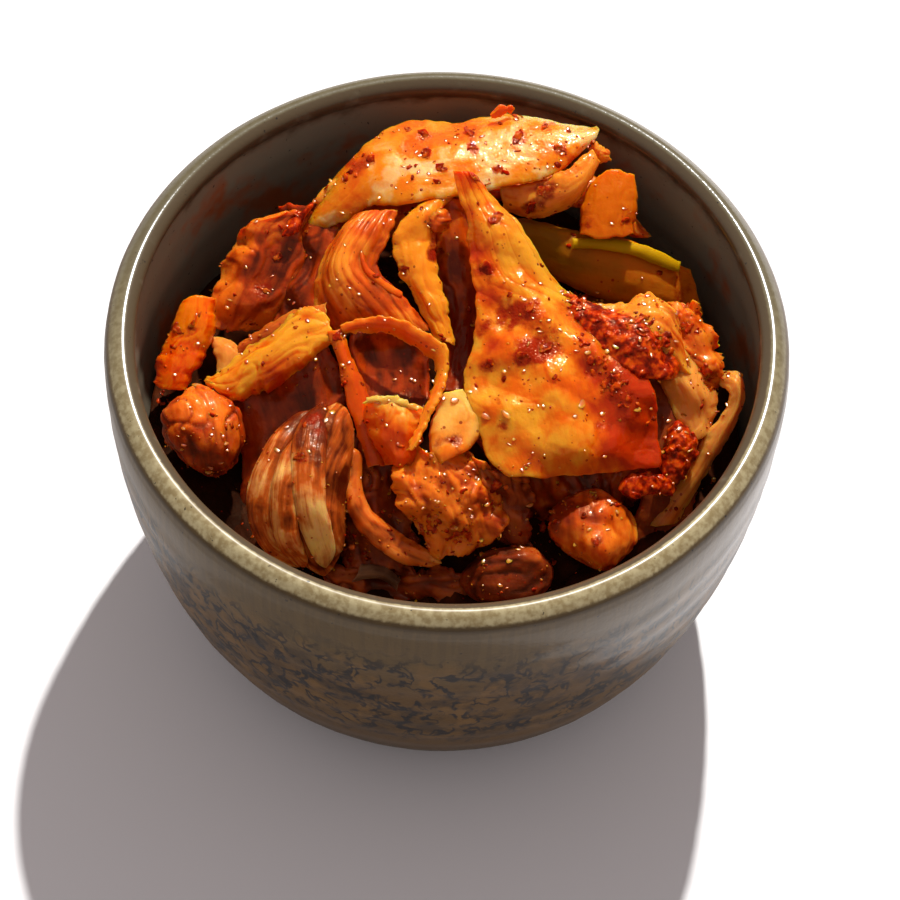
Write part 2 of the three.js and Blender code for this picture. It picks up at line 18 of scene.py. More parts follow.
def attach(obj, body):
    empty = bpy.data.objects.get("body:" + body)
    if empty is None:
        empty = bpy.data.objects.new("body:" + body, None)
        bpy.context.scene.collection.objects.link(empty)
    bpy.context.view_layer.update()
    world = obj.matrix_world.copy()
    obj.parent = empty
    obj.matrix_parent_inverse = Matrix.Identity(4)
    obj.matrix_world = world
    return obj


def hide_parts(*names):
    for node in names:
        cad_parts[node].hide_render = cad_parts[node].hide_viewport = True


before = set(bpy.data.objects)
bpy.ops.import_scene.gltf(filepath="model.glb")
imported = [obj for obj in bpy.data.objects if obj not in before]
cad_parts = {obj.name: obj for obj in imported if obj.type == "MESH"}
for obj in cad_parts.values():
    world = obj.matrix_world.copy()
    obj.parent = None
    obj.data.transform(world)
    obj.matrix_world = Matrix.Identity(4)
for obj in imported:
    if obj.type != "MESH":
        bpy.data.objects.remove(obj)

log = logging.getLogger("kimchi")

MM = 0.001
PER_M2 = 1e6  # square millimetres in a square metre
BODY = "root"
GRAIN_MAP = "grain"  # the UV map of a piece: along and across it, in centimetres
UP_FRONT = np.array([0.0, -0.6, 0.8])  # the side that a piece's face looks to
STRIDE = 0.28  # mm between two vertices of a piece

Triple = tuple[float, float, float]
Rgb = Triple
Spot = tuple[float, float, float, float]  # x and y of a drop line, how far the place reaches, and an amount
Array = np.ndarray
Socket = bpy.types.NodeSocket
Material = bpy.types.Material


# ---- small helpers
def linear(rgb: Rgb) -> tuple[float, float, float, float]:
    """A display colour as the linear colour, with alpha, that a shader socket takes."""
    parts = [c / 255.0 for c in rgb]
    made = [c / 12.92 if c <= 0.04045 else ((c + 0.055) / 1.055) ** 2.4 for c in parts]
    return (made[0], made[1], made[2], 1.0)


def smoothstep(low: float, high: float, value: Array) -> Array:
    """0 below low, 1 above high and a soft step between them."""
    share = np.clip((value - low) / (high - low), 0.0, 1.0)
    return share * share * (3.0 - 2.0 * share)


# what the random numbers are mixed with
HASH_PRIMES = (374761393, 668265263, 2147483647)
HASH_TURN, HASH_TWIST = 1274126177, 2246822519
LOW_BITS = np.uint64(0xFFFFFFFF)


@dataclass(frozen=True)
class Unevenness:
    """Smooth random numbers over space, the same on every run."""

    seed: int

    def _corner(self, x: Array, y: Array, z: Array) -> Array:
        """The random number, from -1 to 1, of each lattice corner."""
        mixed = np.uint64(self.seed * HASH_TURN % 2**32)
        for place, prime in zip((x, y, z), HASH_PRIMES):
            mixed = mixed + place.astype(np.int64).astype(np.uint64) * np.uint64(prime)
        mixed = mixed & LOW_BITS
        mixed = ((mixed ^ (mixed >> np.uint64(13))) * np.uint64(HASH_TURN)) & LOW_BITS
        mixed = ((mixed ^ (mixed >> np.uint64(15))) * np.uint64(HASH_TWIST)) & LOW_BITS
        mixed ^= mixed >> np.uint64(16)
        return (mixed & np.uint64(0xFFFFFF)).astype(float) / float(0x7FFFFF) - 1.0

    def at(self, x: Array, y: Array | float = 0.0, z: Array | float = 0.0) -> Array:
        """One layer of it.

        Args:
            x: First coordinate, in cells.
            y: Second coordinate, in cells.
            z: Third coordinate, in cells.

        Returns:
            A number from -1 to 1 for each point.
        """
        x, y, z = np.broadcast_arrays(np.asarray(x, float), y, z)
        base = [np.floor(c) for c in (x, y, z)]
        share = [c - b for c, b in zip((x, y, z), base)]
        share = [s * s * s * (s * (6 * s - 15) + 10) for s in share]
        total = np.zeros(x.shape)
        for corner in range(8):
            step = [(corner >> k) & 1 for k in range(3)]
            weight = np.ones(x.shape)
            for s, k in zip(share, step):
                weight = weight * (s if k else 1 - s)
            total += weight * self._corner(*(b + k for b, k in zip(base, step)))
        return total

    def layered(self, x: Array, y: Array | float = 0.0, z: Array | float = 0.0) -> Array:
        """Three layers of it, each about half the size and strength of the one before."""
        layers = ((1.0, 0.6), (2.07, 0.28), (4.3, 0.12))
        return sum(w * self.at(np.asarray(x) * f, np.asarray(y) * f, np.asarray(z) * f) for f, w in layers)


@dataclass
class Surface:
    """Vertices in millimetres, faces of three or four corners, and numbers on the vertices."""

    points: Array
    quads: Array
    triangles: Array
    grain: Array  # two numbers a vertex: the UV map
    numbers: dict[str, Array] = field(default_factory=dict)

    def volume(self) -> float:
        """Signed volume: negative if the faces point inwards."""
        p = self.points
        t = np.vstack([self.triangles, self.quads[:, [0, 1, 2]], self.quads[:, [0, 2, 3]]])
        return float(np.einsum("ij,ij->i", p[t[:, 0]], np.cross(p[t[:, 1]], p[t[:, 2]])).sum() / 6)

    def turned_out(self) -> "Surface":
        """The same surface with its faces pointing outwards."""
        if self.volume() < 0:
            self.quads = self.quads[:, ::-1].copy()
            self.triangles = self.triangles[:, ::-1].copy()
        return self

    def mesh(self, name: str) -> bpy.types.Mesh:
        """The surface as a smooth Blender mesh in metres.

        Args:
            name: The mesh's name.

        Returns:
            The mesh, with its UV map and its attributes.
        """
        made = bpy.data.meshes.new(name)
        corners = np.concatenate([self.quads.ravel(), self.triangles.ravel()]).astype(np.int32)
        sizes = np.concatenate([np.full(len(self.quads), 4), np.full(len(self.triangles), 3)])
        starts = np.concatenate([[0], np.cumsum(sizes)[:-1]]).astype(np.int32)
        made.vertices.add(len(self.points))
        made.vertices.foreach_set("co", (self.points * MM).astype(np.float32).ravel())
        made.loops.add(len(corners))
        made.loops.foreach_set("vertex_index", corners)
        made.polygons.add(len(sizes))
        made.polygons.foreach_set("loop_start", starts)
        made.update(calc_edges=True)
        made.validate()
        made.polygons.foreach_set("use_smooth", np.ones(len(made.polygons), bool))
        uv = made.uv_layers.new(name=GRAIN_MAP)
        at = np.zeros(len(made.loops), np.int32)
        made.loops.foreach_get("vertex_index", at)
        uv.data.foreach_set("uv", self.grain[at].astype(np.float32).ravel())
        for key, values in self.numbers.items():
            layer = made.attributes.new(key, "FLOAT", "POINT")
            layer.data.foreach_set("value", np.asarray(values, np.float32))
        return made


def ring_quads(rows: int, ring: int) -> Array:
    """Faces between each ring of points and the next one, for rings stored one after another."""
    r, k = np.meshgrid(np.arange(rows - 1) * ring, np.arange(ring), indexing="ij")
    after = (k + 1) % ring
    return np.stack([r + k, r + after, r + ring + after, r + ring + k], axis=-1).reshape(-1, 4)


def ring_fans(rows: int, ring: int) -> Array:
    """Triangles from the first and the last ring to the two points stored after the rings."""
    k = np.arange(ring)
    after = (k + 1) % ring
    first, last = np.full(ring, rows * ring), np.full(ring, rows * ring + 1)
    far = (rows - 1) * ring
    return np.vstack([np.stack([first, after, k], axis=-1), np.stack([last, far + k, far + after], axis=-1)])


def joined(parts: Sequence[Surface]) -> Surface:
    """Several surfaces as one, each kept as its own shell."""
    offset = np.cumsum([0] + [len(p.points) for p in parts])[:-1]
    keys = parts[0].numbers.keys()
    return Surface(
        np.vstack([p.points for p in parts]),
        np.vstack([p.quads + o for p, o in zip(parts, offset)]),
        np.vstack([p.triangles + o for p, o in zip(parts, offset)]),
        np.vstack([p.grain for p in parts]),
        {k: np.concatenate([p.numbers[k] for p in parts]) for k in keys},
    )


def shown(mesh: bpy.types.Mesh, name: str, finish: Material | None = None) -> bpy.types.Object:
    """Puts a mesh into the scene as an object at the origin.

    Args:
        mesh: The mesh.
        name: The object's name.
        finish: Its material; None keeps the mesh's own.

    Returns:
        The object.
    """
    made = bpy.data.objects.new(name, mesh)
    if finish is not None:
        mesh.materials.clear()
        mesh.materials.append(finish)
    bpy.context.scene.collection.objects.link(made)
    return made


def declare(made: bpy.types.Object, nodes: Sequence[str] = ()) -> None:
    """Rides a piece on the bowl's body and stands it in for CAD nodes."""
    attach(made, BODY)
    if nodes:
        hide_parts(*nodes)
    log.info("%s: %d faces", made.name, len(made.data.polygons))


# ---- node trees
class Wiring:
    """Adds the nodes of one tree and joins them."""

    def __init__(self, tree: bpy.types.NodeTree) -> None:
        """Takes the tree that is built."""
        self.tree = tree

    def add(self, kind: str, values: dict | None = None, **settings: object) -> bpy.types.Node:
        """One node.

        Args:
            kind: Blender's name of the node's type.
            values: What each input gets, a number, a colour or another node's output.
            settings: The node's own properties.

        Returns:
            The node.
        """
        made = self.tree.nodes.new(kind)
        for key, value in settings.items():
            setattr(made, key, value)
        for key, value in (values or {}).items():
            if isinstance(value, Socket):
                self.tree.links.new(value, made.inputs[key])
            else:
                made.inputs[key].default_value = value
        return made

    def math(self, operation: str, a: object, b: object = 0.0, clamp: bool = False) -> Socket:
        """The result of one sum on two numbers."""
        kind = "ShaderNodeMath"
        return self.add(kind, {0: a, 1: b}, operation=operation, use_clamp=clamp).outputs[0]

    def times(self, a: object, b: object) -> Socket:
        """The product of two numbers."""
        return self.math("MULTIPLY", a, b)

    def plus(self, a: object, b: object, clamp: bool = False) -> Socket:
        """The sum of two numbers."""
        return self.math("ADD", a, b, clamp)

    def minus(self, a: object, b: object, clamp: bool = False) -> Socket:
        """The difference of two numbers."""
        return self.math("SUBTRACT", a, b, clamp)

    def group(self, tree: bpy.types.NodeTree, values: dict) -> Socket:
        """A shader group's number."""
        return self.add("ShaderNodeGroup", values, node_tree=tree).outputs[0]

    def named(self, name: str, kind: str) -> Socket:
        """A named attribute in a Geometry Nodes tree."""
        return self.add("GeometryNodeInputNamedAttribute", {"Name": name}, data_type=kind).outputs[0]

    def scaled(self, vector: object, by: object) -> Socket:
        """A vector times a number."""
        return self.add("ShaderNodeVectorMath", {0: vector, 3: by}, operation="SCALE").outputs[0]

    def object_place(self) -> Socket:
        """Object coordinates."""
        return self.add("ShaderNodeTexCoord").outputs["Object"]

    def span(self, value: object, low: float, high: float, to_low: float = 0, to_high: float = 1) -> Socket:
        """A number moved from one span to another, softly and clamped."""
        values = {0: value, 1: low, 2: high, 3: to_low, 4: to_high}
        return self.add("ShaderNodeMapRange", values, interpolation_type="SMOOTHSTEP").outputs[0]

    def blend(self, share: object, a: object, b: object) -> Socket:
        """Two colours, each a socket or display values, mixed by a share."""
        a, b = (linear(c) if isinstance(c, tuple) else c for c in (a, b))
        return self.add("ShaderNodeMix", {0: share, 6: a, 7: b}, data_type="RGBA").outputs[2]

    def noise(self, place: object, scale: float, detail: float = 2.0, rough: float = 0.5) -> Socket:
        """A noise pattern's number."""
        values = {"Vector": place, "Scale": scale, "Detail": detail, "Roughness": rough}
        return self.add("ShaderNodeTexNoise", values).outputs[0]

    def ramp(self, share: object, stops: Sequence[tuple[float, Rgb]]) -> Socket:
        """A colour from a row of stops."""
        made = self.add("ShaderNodeValToRGB", {0: share})
        row = made.color_ramp
        while len(row.elements) < len(stops):
            row.elements.new(0.5)
        for element, (at, colour) in zip(row.elements, stops):
            element.position = at
            element.color = linear(colour)
        return made.outputs[0]

    def number(self, name: str) -> Socket:
        """A vertex attribute's number."""
        return self.add("ShaderNodeAttribute", attribute_name=name).outputs["Fac"]


def new_tree(
    name: str, kind: str, takes: Sequence[tuple], gives: Sequence[tuple]
) -> tuple[Wiring, dict, dict]:
    """An empty node group with named inputs and outputs.

    Args:
        name: The group's name.
        kind: ShaderNodeTree or GeometryNodeTree.
        takes: Name, socket type and default value of each input.
        gives: Name and socket type of each output.

    Returns:
        Its wiring, its input sockets by name, and its output node's sockets by name.
    """
    tree = bpy.data.node_groups.new(name, kind)
    for label, socket, *default in takes:
        made = tree.interface.new_socket(label, in_out="INPUT", socket_type=socket)
        if default:
            made.default_value = default[0]
    for label, socket in gives:
        tree.interface.new_socket(label, in_out="OUTPUT", socket_type=socket)
    wiring = Wiring(tree)
    source = wiring.add("NodeGroupInput").outputs
    target = wiring.add("NodeGroupOutput").inputs
    return wiring, {t[0]: source[t[0]] for t in takes}, {g[0]: target[g[0]] for g in gives}


NUMBER = "NodeSocketFloat"
PLACE = "NodeSocketVector"


class SharedEffects:
    """The shader groups that more than one finish uses, each built once."""

    def __init__(self) -> None:
        """Builds the groups."""
        self.fibres = self._fibres()
        self.stain = self._stain()
        self.dots = self._dots()
        self.wet_skin = self._wet_skin()

    def _fibres(self) -> bpy.types.NodeTree:
        """Pale and deep streaks that run along a piece's grain."""
        takes = [("Grain", PLACE), ("Gap", NUMBER, 0.12), ("Run", NUMBER, 1.2)]
        wiring, get, out = new_tree("leaf_fibres", "ShaderNodeTree", takes, [("Streaks", NUMBER)])
        parts = wiring.add("ShaderNodeSeparateXYZ", {0: get["Grain"]}).outputs
        along = wiring.math("DIVIDE", parts[0], get["Run"])
        across = wiring.math("DIVIDE", parts[1], get["Gap"])
        place = wiring.add("ShaderNodeCombineXYZ", {0: along, 1: across}).outputs[0]
        made = wiring.span(wiring.noise(place, 1.0, 3.0, 0.6), 0.3, 0.7)
        wiring.tree.links.new(made, out["Streaks"])
        return wiring.tree

    def _stain(self) -> bpy.types.NodeTree:
        """Where chilli paste has soaked in: the amount's edge is broken up by noise."""
        takes = [("Place", PLACE), ("Amount", NUMBER, 0.0), ("Size", NUMBER, 2.0)]
        wiring, get, out = new_tree("chilli_stain", "ShaderNodeTree", takes, [("Mask", NUMBER)])
        scale = wiring.math("DIVIDE", 1000.0, get["Size"])
        noise = wiring.add("ShaderNodeTexNoise", {"Vector": get["Place"], "Scale": scale, "Detail": 4.0})
        lifted = wiring.plus(noise.outputs[0], get["Amount"])
        wiring.tree.links.new(wiring.span(lifted, 0.78, 1.12), out["Mask"])
        return wiring.tree

    def _dots(self) -> bpy.types.NodeTree:
        """Fine chilli specks: small round cells, only some of them filled."""
        takes = [("Place", PLACE), ("Gap", NUMBER, 1.0), ("Cover", NUMBER, 0.3)]
        wiring, get, out = new_tree("chilli_specks", "ShaderNodeTree", takes, [("Mask", NUMBER)])
        scale = wiring.math("DIVIDE", 1000.0, get["Gap"])
        cells = wiring.add("ShaderNodeTexVoronoi", {"Vector": get["Place"], "Scale": scale})
        grey = wiring.add("ShaderNodeSeparateColor", {0: cells.outputs["Color"]}).outputs
        chosen = wiring.math("LESS_THAN", grey[0], get["Cover"])
        reach = wiring.times(grey[1], 0.32)
        inside = wiring.minus(reach, cells.outputs["Distance"])
        soft = wiring.span(inside, -0.06, 0.08)
        wiring.tree.links.new(wiring.times(soft, chosen), out["Mask"])
        return wiring.tree

    def _wet_skin(self) -> bpy.types.NodeTree:
        """Height of the wet film: soft dimples, with fine beads of oil where it is stained."""
        takes = [("Place", PLACE), ("Beads", NUMBER, 0.0), ("Dimples", NUMBER, 1.0)]
        wiring, get, out = new_tree("wet_skin", "ShaderNodeTree", takes, [("Height", NUMBER)])
        coarse = wiring.noise(get["Place"], 700.0, 2.0)
        cells = wiring.add("ShaderNodeTexVoronoi", {"Vector": get["Place"], "Scale": 1900.0})
        away = cells.outputs["Distance"]
        bead = wiring.minus(0.36, wiring.times(away, away), clamp=True)
        beads = wiring.times(bead, get["Beads"])
        dimples = wiring.times(coarse, get["Dimples"])
        wiring.tree.links.new(wiring.plus(dimples, beads), out["Height"])
        return wiring.tree


def fresh_material(name: str) -> tuple[Material, Wiring]:
    """An empty material and its wiring."""
    made = bpy.data.materials.new(name)
    made.use_nodes = True
    made.node_tree.nodes.clear()
    return made, Wiring(made.node_tree)


def close_material(wiring: Wiring, shader: bpy.types.Node) -> None:
    """Joins a shader to the material's output."""
    wiring.add("ShaderNodeOutputMaterial", {"Surface": shader.outputs[0]})


def close_wet(w: Wiring, values: dict, skin: Socket, depth: float, rough_film: bool) -> None:
    """Closes a material with a translucent body under a wet film.

    Args:
        w: The material's wiring.
        values: The shader's inputs that differ from food to food.
        skin: Height of the film.
        depth: How deep that height goes, in metres.
        rough_film: Whether the film follows it, and not only the body under it.
    """
    bump = w.add("ShaderNodeBump", {"Height": skin, "Strength": 1.0, "Distance": depth}).outputs[0]
    same = {"IOR": 1.42, "Subsurface Scale": MM, "Coat IOR": 1.4, "Normal": bump}
    if rough_film:
        same["Coat Normal"] = bump
    close_material(w, w.add("ShaderNodeBsdfPrincipled", values | same))


@dataclass(frozen=True)
class WetVegetable:
    """A pickled, oily piece of vegetable: three tones, fibres, soaked stains and a wet film."""

    name: str
    deep: Rgb
    mid: Rgb
    pale: Rgb
    slot: str
    stain: Rgb = (146, 26, 3)
    streaks: float = 0.3  # how strongly the fibres show
    gap: float = 0.13  # centimetres between two fibres
    glow: Rgb = (2.4, 0.9, 0.25)  # millimetres that red, green and blue light travel inside
    glow_weight: float = 0.9
    specks: float = 0.25
    beads: float = 0.5
    dimples: float = 0.7
    roughness: float = 0.34
    film: float = 0.3  # how wet it is
    mottle: float = 0.16  # how much the tone changes from place to place
    mirror: float = 0.45  # strength of the skin's own gloss
    oil: tuple[float, float, float, float] = (1.0, 0.52, 0.22, 1.0)  # colour of that gloss

    def material(self, shared: SharedEffects) -> Material:
        """The finish as a material.

        Args:
            shared: The groups that the finishes share.

        Returns:
            The material.
        """
        made, w = fresh_material(self.name)
        grain = w.add("ShaderNodeUVMap", uv_map=GRAIN_MAP).outputs[0]
        place = w.object_place()
        fibres = w.group(shared.fibres, {"Grain": grain, "Gap": self.gap})
        mottle = w.span(w.noise(place, 260.0, 3.0), 0.3, 0.7, -self.mottle, self.mottle)
        veins = w.span(fibres, 0.0, 1.0, -self.streaks / 2, self.streaks / 2)
        # the pale attribute also carries each piece's painted shading: lighter ridges and edges, darker
        # grooves and creases
        tone = w.plus(w.plus(w.number("pale"), veins), mottle, clamp=True)
        colour = w.ramp(tone, [(0.0, self.deep), (0.5, self.mid), (1.0, self.pale)])
        stain = w.group(shared.stain, {"Place": place, "Amount": w.number("stain"), "Size": 2.2})
        colour = w.blend(stain, colour, self.stain)
        dots = w.group(shared.dots, {"Place": place, "Gap": 0.9, "Cover": self.specks})
        colour = w.blend(w.times(dots, 0.8), colour, self.stain)
        wetness = w.plus(w.times(stain, 0.8), self.beads * 0.5)
        skin = w.group(shared.wet_skin, {"Place": place, "Beads": wetness, "Dimples": self.dimples})
        height = w.plus(skin, w.times(fibres, self.streaks * 1.4))
        values = {
            "Base Color": colour,
            "Roughness": self.roughness,
            "Specular IOR Level": self.mirror,
            "Specular Tint": self.oil,
            "Subsurface Weight": self.glow_weight,
            "Subsurface Radius": self.glow,
            "Coat Weight": w.span(stain, 0.0, 1.0, self.film, self.film * 0.4),
            "Coat Roughness": 0.06,
        }
        close_wet(w, values, height, 0.14 * MM, True)
        return made


@dataclass(frozen=True)
class RedChilli:
    """Chilli skin, seeds and paste: a tone that differs from chip to chip under a glossy film."""

    name: str
    dark: Rgb
    mid: Rgb
    bright: Rgb
    patch: float = 2.0  # millimetres over which the tone changes
    glow_weight: float = 0.8
    glow: Rgb = (1.4, 0.35, 0.08)
    roughness: float = 0.3
    film: float = 0.5  # how wet it is
    mirror: float = 0.4  # strength of the skin's own gloss
    gloss: float = 0.05  # roughness of the film
    skin: float = 0.12  # millimetres between the highs and lows of the film

    def material(self, shared: SharedEffects) -> Material:
        """The finish as a material.

        Args:
            shared: The groups that the finishes share.

        Returns:
            The material.
        """
        made, w = fresh_material(self.name)
        place = w.object_place()
        tone = w.span(w.noise(place, 1000.0 / self.patch, 2.0), 0.32, 0.68)
        colour = w.ramp(tone, [(0.0, self.dark), (0.5, self.mid), (1.0, self.bright)])
        skin = w.group(shared.wet_skin, {"Place": place, "Beads": 0.8, "Dimples": 0.6})
        values = {
            "Base Color": colour,
            "Roughness": self.roughness,
            "Specular IOR Level": self.mirror,
            "Specular Tint": (1.0, 0.5, 0.2, 1.0),
            "Subsurface Weight": self.glow_weight,
            "Subsurface Radius": self.glow,
            "Coat Weight": self.film,
            "Coat Roughness": self.gloss,
        }
        close_wet(w, values, skin, self.skin * MM, False)
        return made


@dataclass(frozen=True)
class StonewareGlaze:
    """The bowl's olive and iron glaze: cream at the lip, streaked below it, crinkled on the belly."""

    name: str = "stoneware_glaze"
    lip: Rgb = (180, 166, 126)
    lip_dark: Rgb = (146, 128, 88)
    lip_back: Rgb = (84, 76, 54)
    band: Rgb = (70, 56, 36)
    shoulder: Rgb = (90, 72, 42)
    belly: Rgb = (88, 64, 32)
    foot: Rgb = (56, 48, 36)
    iron: Rgb = (27, 26, 27)
    fleck: Rgb = (116, 84, 40)
    inner_top: Rgb = (84, 70, 50)
    inner: Rgb = (138, 136, 116)
    inner_deep: Rgb = (132, 120, 100)
    # reddish patches low on the inner wall: partly rust-red staining, partly painted bounce light from the
    # red food
    rust: Rgb = (160, 92, 52)

    def _outside(self, w: Wiring, place: Socket, level: Socket) -> Socket:
        """Colour of the outer wall.

        Args:
            w: The material's wiring.
            place: Object coordinates.
            level: Height in metres, with some unevenness.

        Returns:
            The colour.
        """
        shares = (0.0, 0.14, 0.32, 0.66, 0.84, 1.0)
        tones = (self.foot, self.foot, self.belly, self.belly, self.shoulder, self.shoulder)
        colour = w.ramp(w.math("DIVIDE", level, 0.072), list(zip(shares, tones)))
        drawn = w.add("ShaderNodeMapping", {"Vector": place, "Scale": (1.0, 1.0, 0.07)}).outputs[0]
        runs = w.span(w.noise(drawn, 900.0, 2.0, 0.6), 0.40, 0.60)
        under_lip = w.times(w.span(level, 0.050, 0.064), 0.35)
        colour = w.blend(w.times(runs, under_lip), colour, self.band)
        squashed = w.add("ShaderNodeMapping", {"Vector": place, "Scale": (1.0, 1.0, 0.75)}).outputs[0]
        values = {"Vector": squashed, "Scale": 300.0, "Detail": 3.0, "Distortion": 0.5}
        bent = w.add("ShaderNodeTexNoise", values).outputs[0]
        line = w.span(w.math("ABSOLUTE", w.minus(bent, 0.5)), 0.07, 0.02)
        belly = w.times(w.span(level, 0.020, 0.032), w.span(level, 0.0645, 0.0545))
        clouds = w.span(w.noise(place, 110.0, 3.0, 0.6), 0.3, 0.46)
        broken = w.span(w.noise(squashed, 380.0, 1.0), 0.34, 0.48)
        strokes = w.times(w.times(line, belly), w.times(clouds, broken))
        gold = w.times(w.span(w.noise(squashed, 300.0, 3.0), 0.48, 0.66), w.times(belly, 0.5))
        colour = w.blend(gold, colour, self.fleck)
        shade = w.times(w.span(w.noise(place, 130.0, 4.0, 0.65), 0.46, 0.62), w.times(belly, 0.5))
        colour = w.blend(shade, colour, self.iron)
        return w.blend(w.times(strokes, 0.95), colour, self.iron)

    def material(self) -> Material:
        """The finish as a material."""
        made, w = fresh_material(self.name)
        place = w.object_place()
        toward_right, toward_back, height = w.add("ShaderNodeSeparateXYZ", {0: place}).outputs
        shine = w.number("shine")
        cloud = w.noise(place, 240.0, 4.0)
        fine = w.noise(place, 1300.0, 3.0)
        level = w.plus(height, w.times(w.minus(cloud, 0.5), 0.010))
        outer = self._outside(w, place, level)
        inner = w.blend(w.span(level, 0.045, 0.062), self.inner_deep, self.inner)
        # reddish patches near the food: partly staining, partly painted bounce light from the food
        rusty = w.times(w.span(w.noise(place, 45.0, 4.0, 0.65), 0.52, 0.66), w.span(level, 0.070, 0.060))
        inner = w.blend(rusty, inner, self.rust)
        inner = w.blend(w.span(level, 0.0655, 0.0705), inner, self.inner_top)
        colour = w.blend(w.number("inside"), outer, inner)
        mottle = w.span(w.plus(w.noise(place, 700.0, 4.0), w.times(fine, 0.6)), 0.62, 1.0)
        lip = w.blend(mottle, self.lip_dark, self.lip)
        lip = w.blend(w.span(toward_back, -0.042, 0.022, 0.0, 0.9), lip, self.lip_back)
        ragged = w.plus(w.number("crown"), w.times(w.minus(fine, 0.5), 0.5))
        colour = w.blend(w.span(ragged, 0.15, 0.85), colour, lip)
        ring = w.plus(w.number("ring"), w.times(w.minus(fine, 0.5), 0.4))
        colour = w.blend(w.span(ring, 0.3, 0.9, 0.0, 0.6), colour, self.band)
        pits = w.span(w.noise(place, 1000.0, 2.0), 0.30, 0.24)
        colour = w.blend(w.times(pits, 0.8), colour, self.iron)
        relief = w.plus(w.times(fine, 0.5), w.times(cloud, 0.5))
        relief = w.times(relief, w.minus(1.0, shine))
        bump = w.add("ShaderNodeBump", {"Height": relief, "Strength": 0.35, "Distance": 0.0002})
        sheen = w.span(toward_right, -0.05, 0.05, 0.12, 0.55)
        smooth = w.math("MAXIMUM", w.times(w.span(height, 0.030, 0.056), sheen), shine)
        shader = w.add(
            "ShaderNodeBsdfPrincipled",
            {
                "Base Color": colour,
                "Roughness": w.span(smooth, 0.0, 1.0, 0.5, 0.3),
                "IOR": 1.4,
                "Specular IOR Level": 0.2,
                "Coat Weight": w.span(smooth, 0.0, 1.0, 0.1, 1.0),
                "Coat Roughness": w.span(shine, 0.0, 1.0, 0.14, 0.2),
                "Normal": bump.outputs[0],
                "Coat Normal": bump.outputs[0],
            },
        )
        close_material(w, shader)
        return made


@dataclass(frozen=True)
class StudioFloor:
    """The plain white floor."""

    name: str = "studio_floor"
    tone: Rgb = (244, 243, 244)

    def material(self) -> Material:
        """The finish as a material."""
        made, w = fresh_material(self.name)
        shader = w.add("ShaderNodeBsdfPrincipled", {"Base Color": linear(self.tone), "Roughness": 0.85})
        close_material(w, shader)
        return made


# ---- the pieces' finishes
FINISHES = {
    f.name: f
    for f in (
        WetVegetable("crown_stem", (238, 100, 4), (252, 136, 18), (255, 186, 118), "cabbage_stem",
            stain=(184, 54, 6), glow=(5.0, 2.2, 0.5), glow_weight=1.0, streaks=0.08, mottle=0.42,
            specks=0.08, film=0.2),
        WetVegetable("golden_leaf", (196, 48, 1), (240, 104, 2), (255, 156, 34), "cabbage_leaf",
            stain=(172, 36, 2), glow=(3.4, 1.1, 0.15), streaks=0.11, gap=0.17, mottle=0.26, specks=0.16,
            roughness=0.28),
        WetVegetable("amber_leaf", (138, 34, 2), (214, 84, 7), (250, 144, 38), "cabbage_leaf",
            glow=(2.6, 0.8, 0.12), streaks=0.12, mottle=0.24),
        WetVegetable("orange_strip", (180, 42, 1), (232, 90, 3), (255, 144, 26), "cabbage_leaf",
            glow=(2.6, 0.9, 0.12), streaks=0.1, specks=0.15),
        WetVegetable("tan_stem", (136, 48, 8), (214, 100, 22), (252, 152, 62), "cabbage_stem",
            glow=(3.0, 1.2, 0.3), streaks=0.14, specks=0.15),
        WetVegetable("rolled_stem", (104, 30, 5), (196, 90, 24), (255, 196, 112), "cabbage_stem",
            glow=(2.6, 1.0, 0.25), streaks=0.3, gap=0.1, mottle=0.2, specks=0.1, mirror=0.25, film=0.14),
        WetVegetable("red_leaf", (100, 22, 3), (186, 62, 7), (244, 122, 26), "stained_leaf",
            glow=(2.0, 0.6, 0.1), streaks=0.12, mottle=0.24, specks=0.25),
        # a darker, browner copy of the leaf finishes for the pieces and filler sheets in the heap's shaded
        # gaps: partly sauce-soaked leaf, partly painted shade
        WetVegetable("dark_leaf", (84, 30, 14), (132, 46, 14), (190, 88, 28), "stained_leaf",
            glow=(1.6, 0.4, 0.08), glow_weight=0.7, streaks=0.1, mottle=0.22, mirror=0.2, film=0.25),
        WetVegetable("pale_chunk", (226, 76, 4), (250, 130, 20), (255, 178, 80), "cabbage_stem",
            glow=(3.6, 1.4, 0.3), streaks=0.06, mottle=0.24, specks=0.1),
        WetVegetable("white_radish", (158, 44, 1), (190, 72, 1), (208, 100, 4), "white_radish",
            glow=(4.6, 1.8, 0.2), streaks=0.06, mottle=0.2, specks=0.1, mirror=0.25, film=0.14),
        WetVegetable("green_radish", (146, 92, 8), (188, 102, 10), (214, 104, 14), "green_radish",
            glow=(2.4, 1.0, 0.1), streaks=0.08, specks=0.14, beads=0.2, mirror=0.2, roughness=0.5,
            film=0.06),
        WetVegetable("radish_rind", (142, 104, 1), (180, 136, 1), (200, 154, 4), "green_radish",
            glow=(1.6, 1.2, 0.1), streaks=0.05, specks=0.0, beads=0.1, mirror=0.2, roughness=0.5,
            film=0.08),
        WetVegetable("carrot", (190, 42, 0), (242, 88, 0), (255, 126, 4), "carrot",
            glow=(2.4, 0.7, 0.08), streaks=0.1, specks=0.1, beads=0.4),
        WetVegetable("onion", (50, 28, 18), (92, 58, 38), (150, 108, 78), "onion", glow=(1.6, 1.0, 0.7),
            streaks=0.16, specks=0.05, mirror=0.2, film=0.1),
        WetVegetable("sauced_bed", (36, 15, 7), (60, 24, 9), (112, 46, 13), "sauced_bed",
            glow=(1.0, 0.3, 0.1), glow_weight=0.3, streaks=0.06, specks=0.1, mirror=0.05, roughness=0.5,
            film=0.0),
    )
}


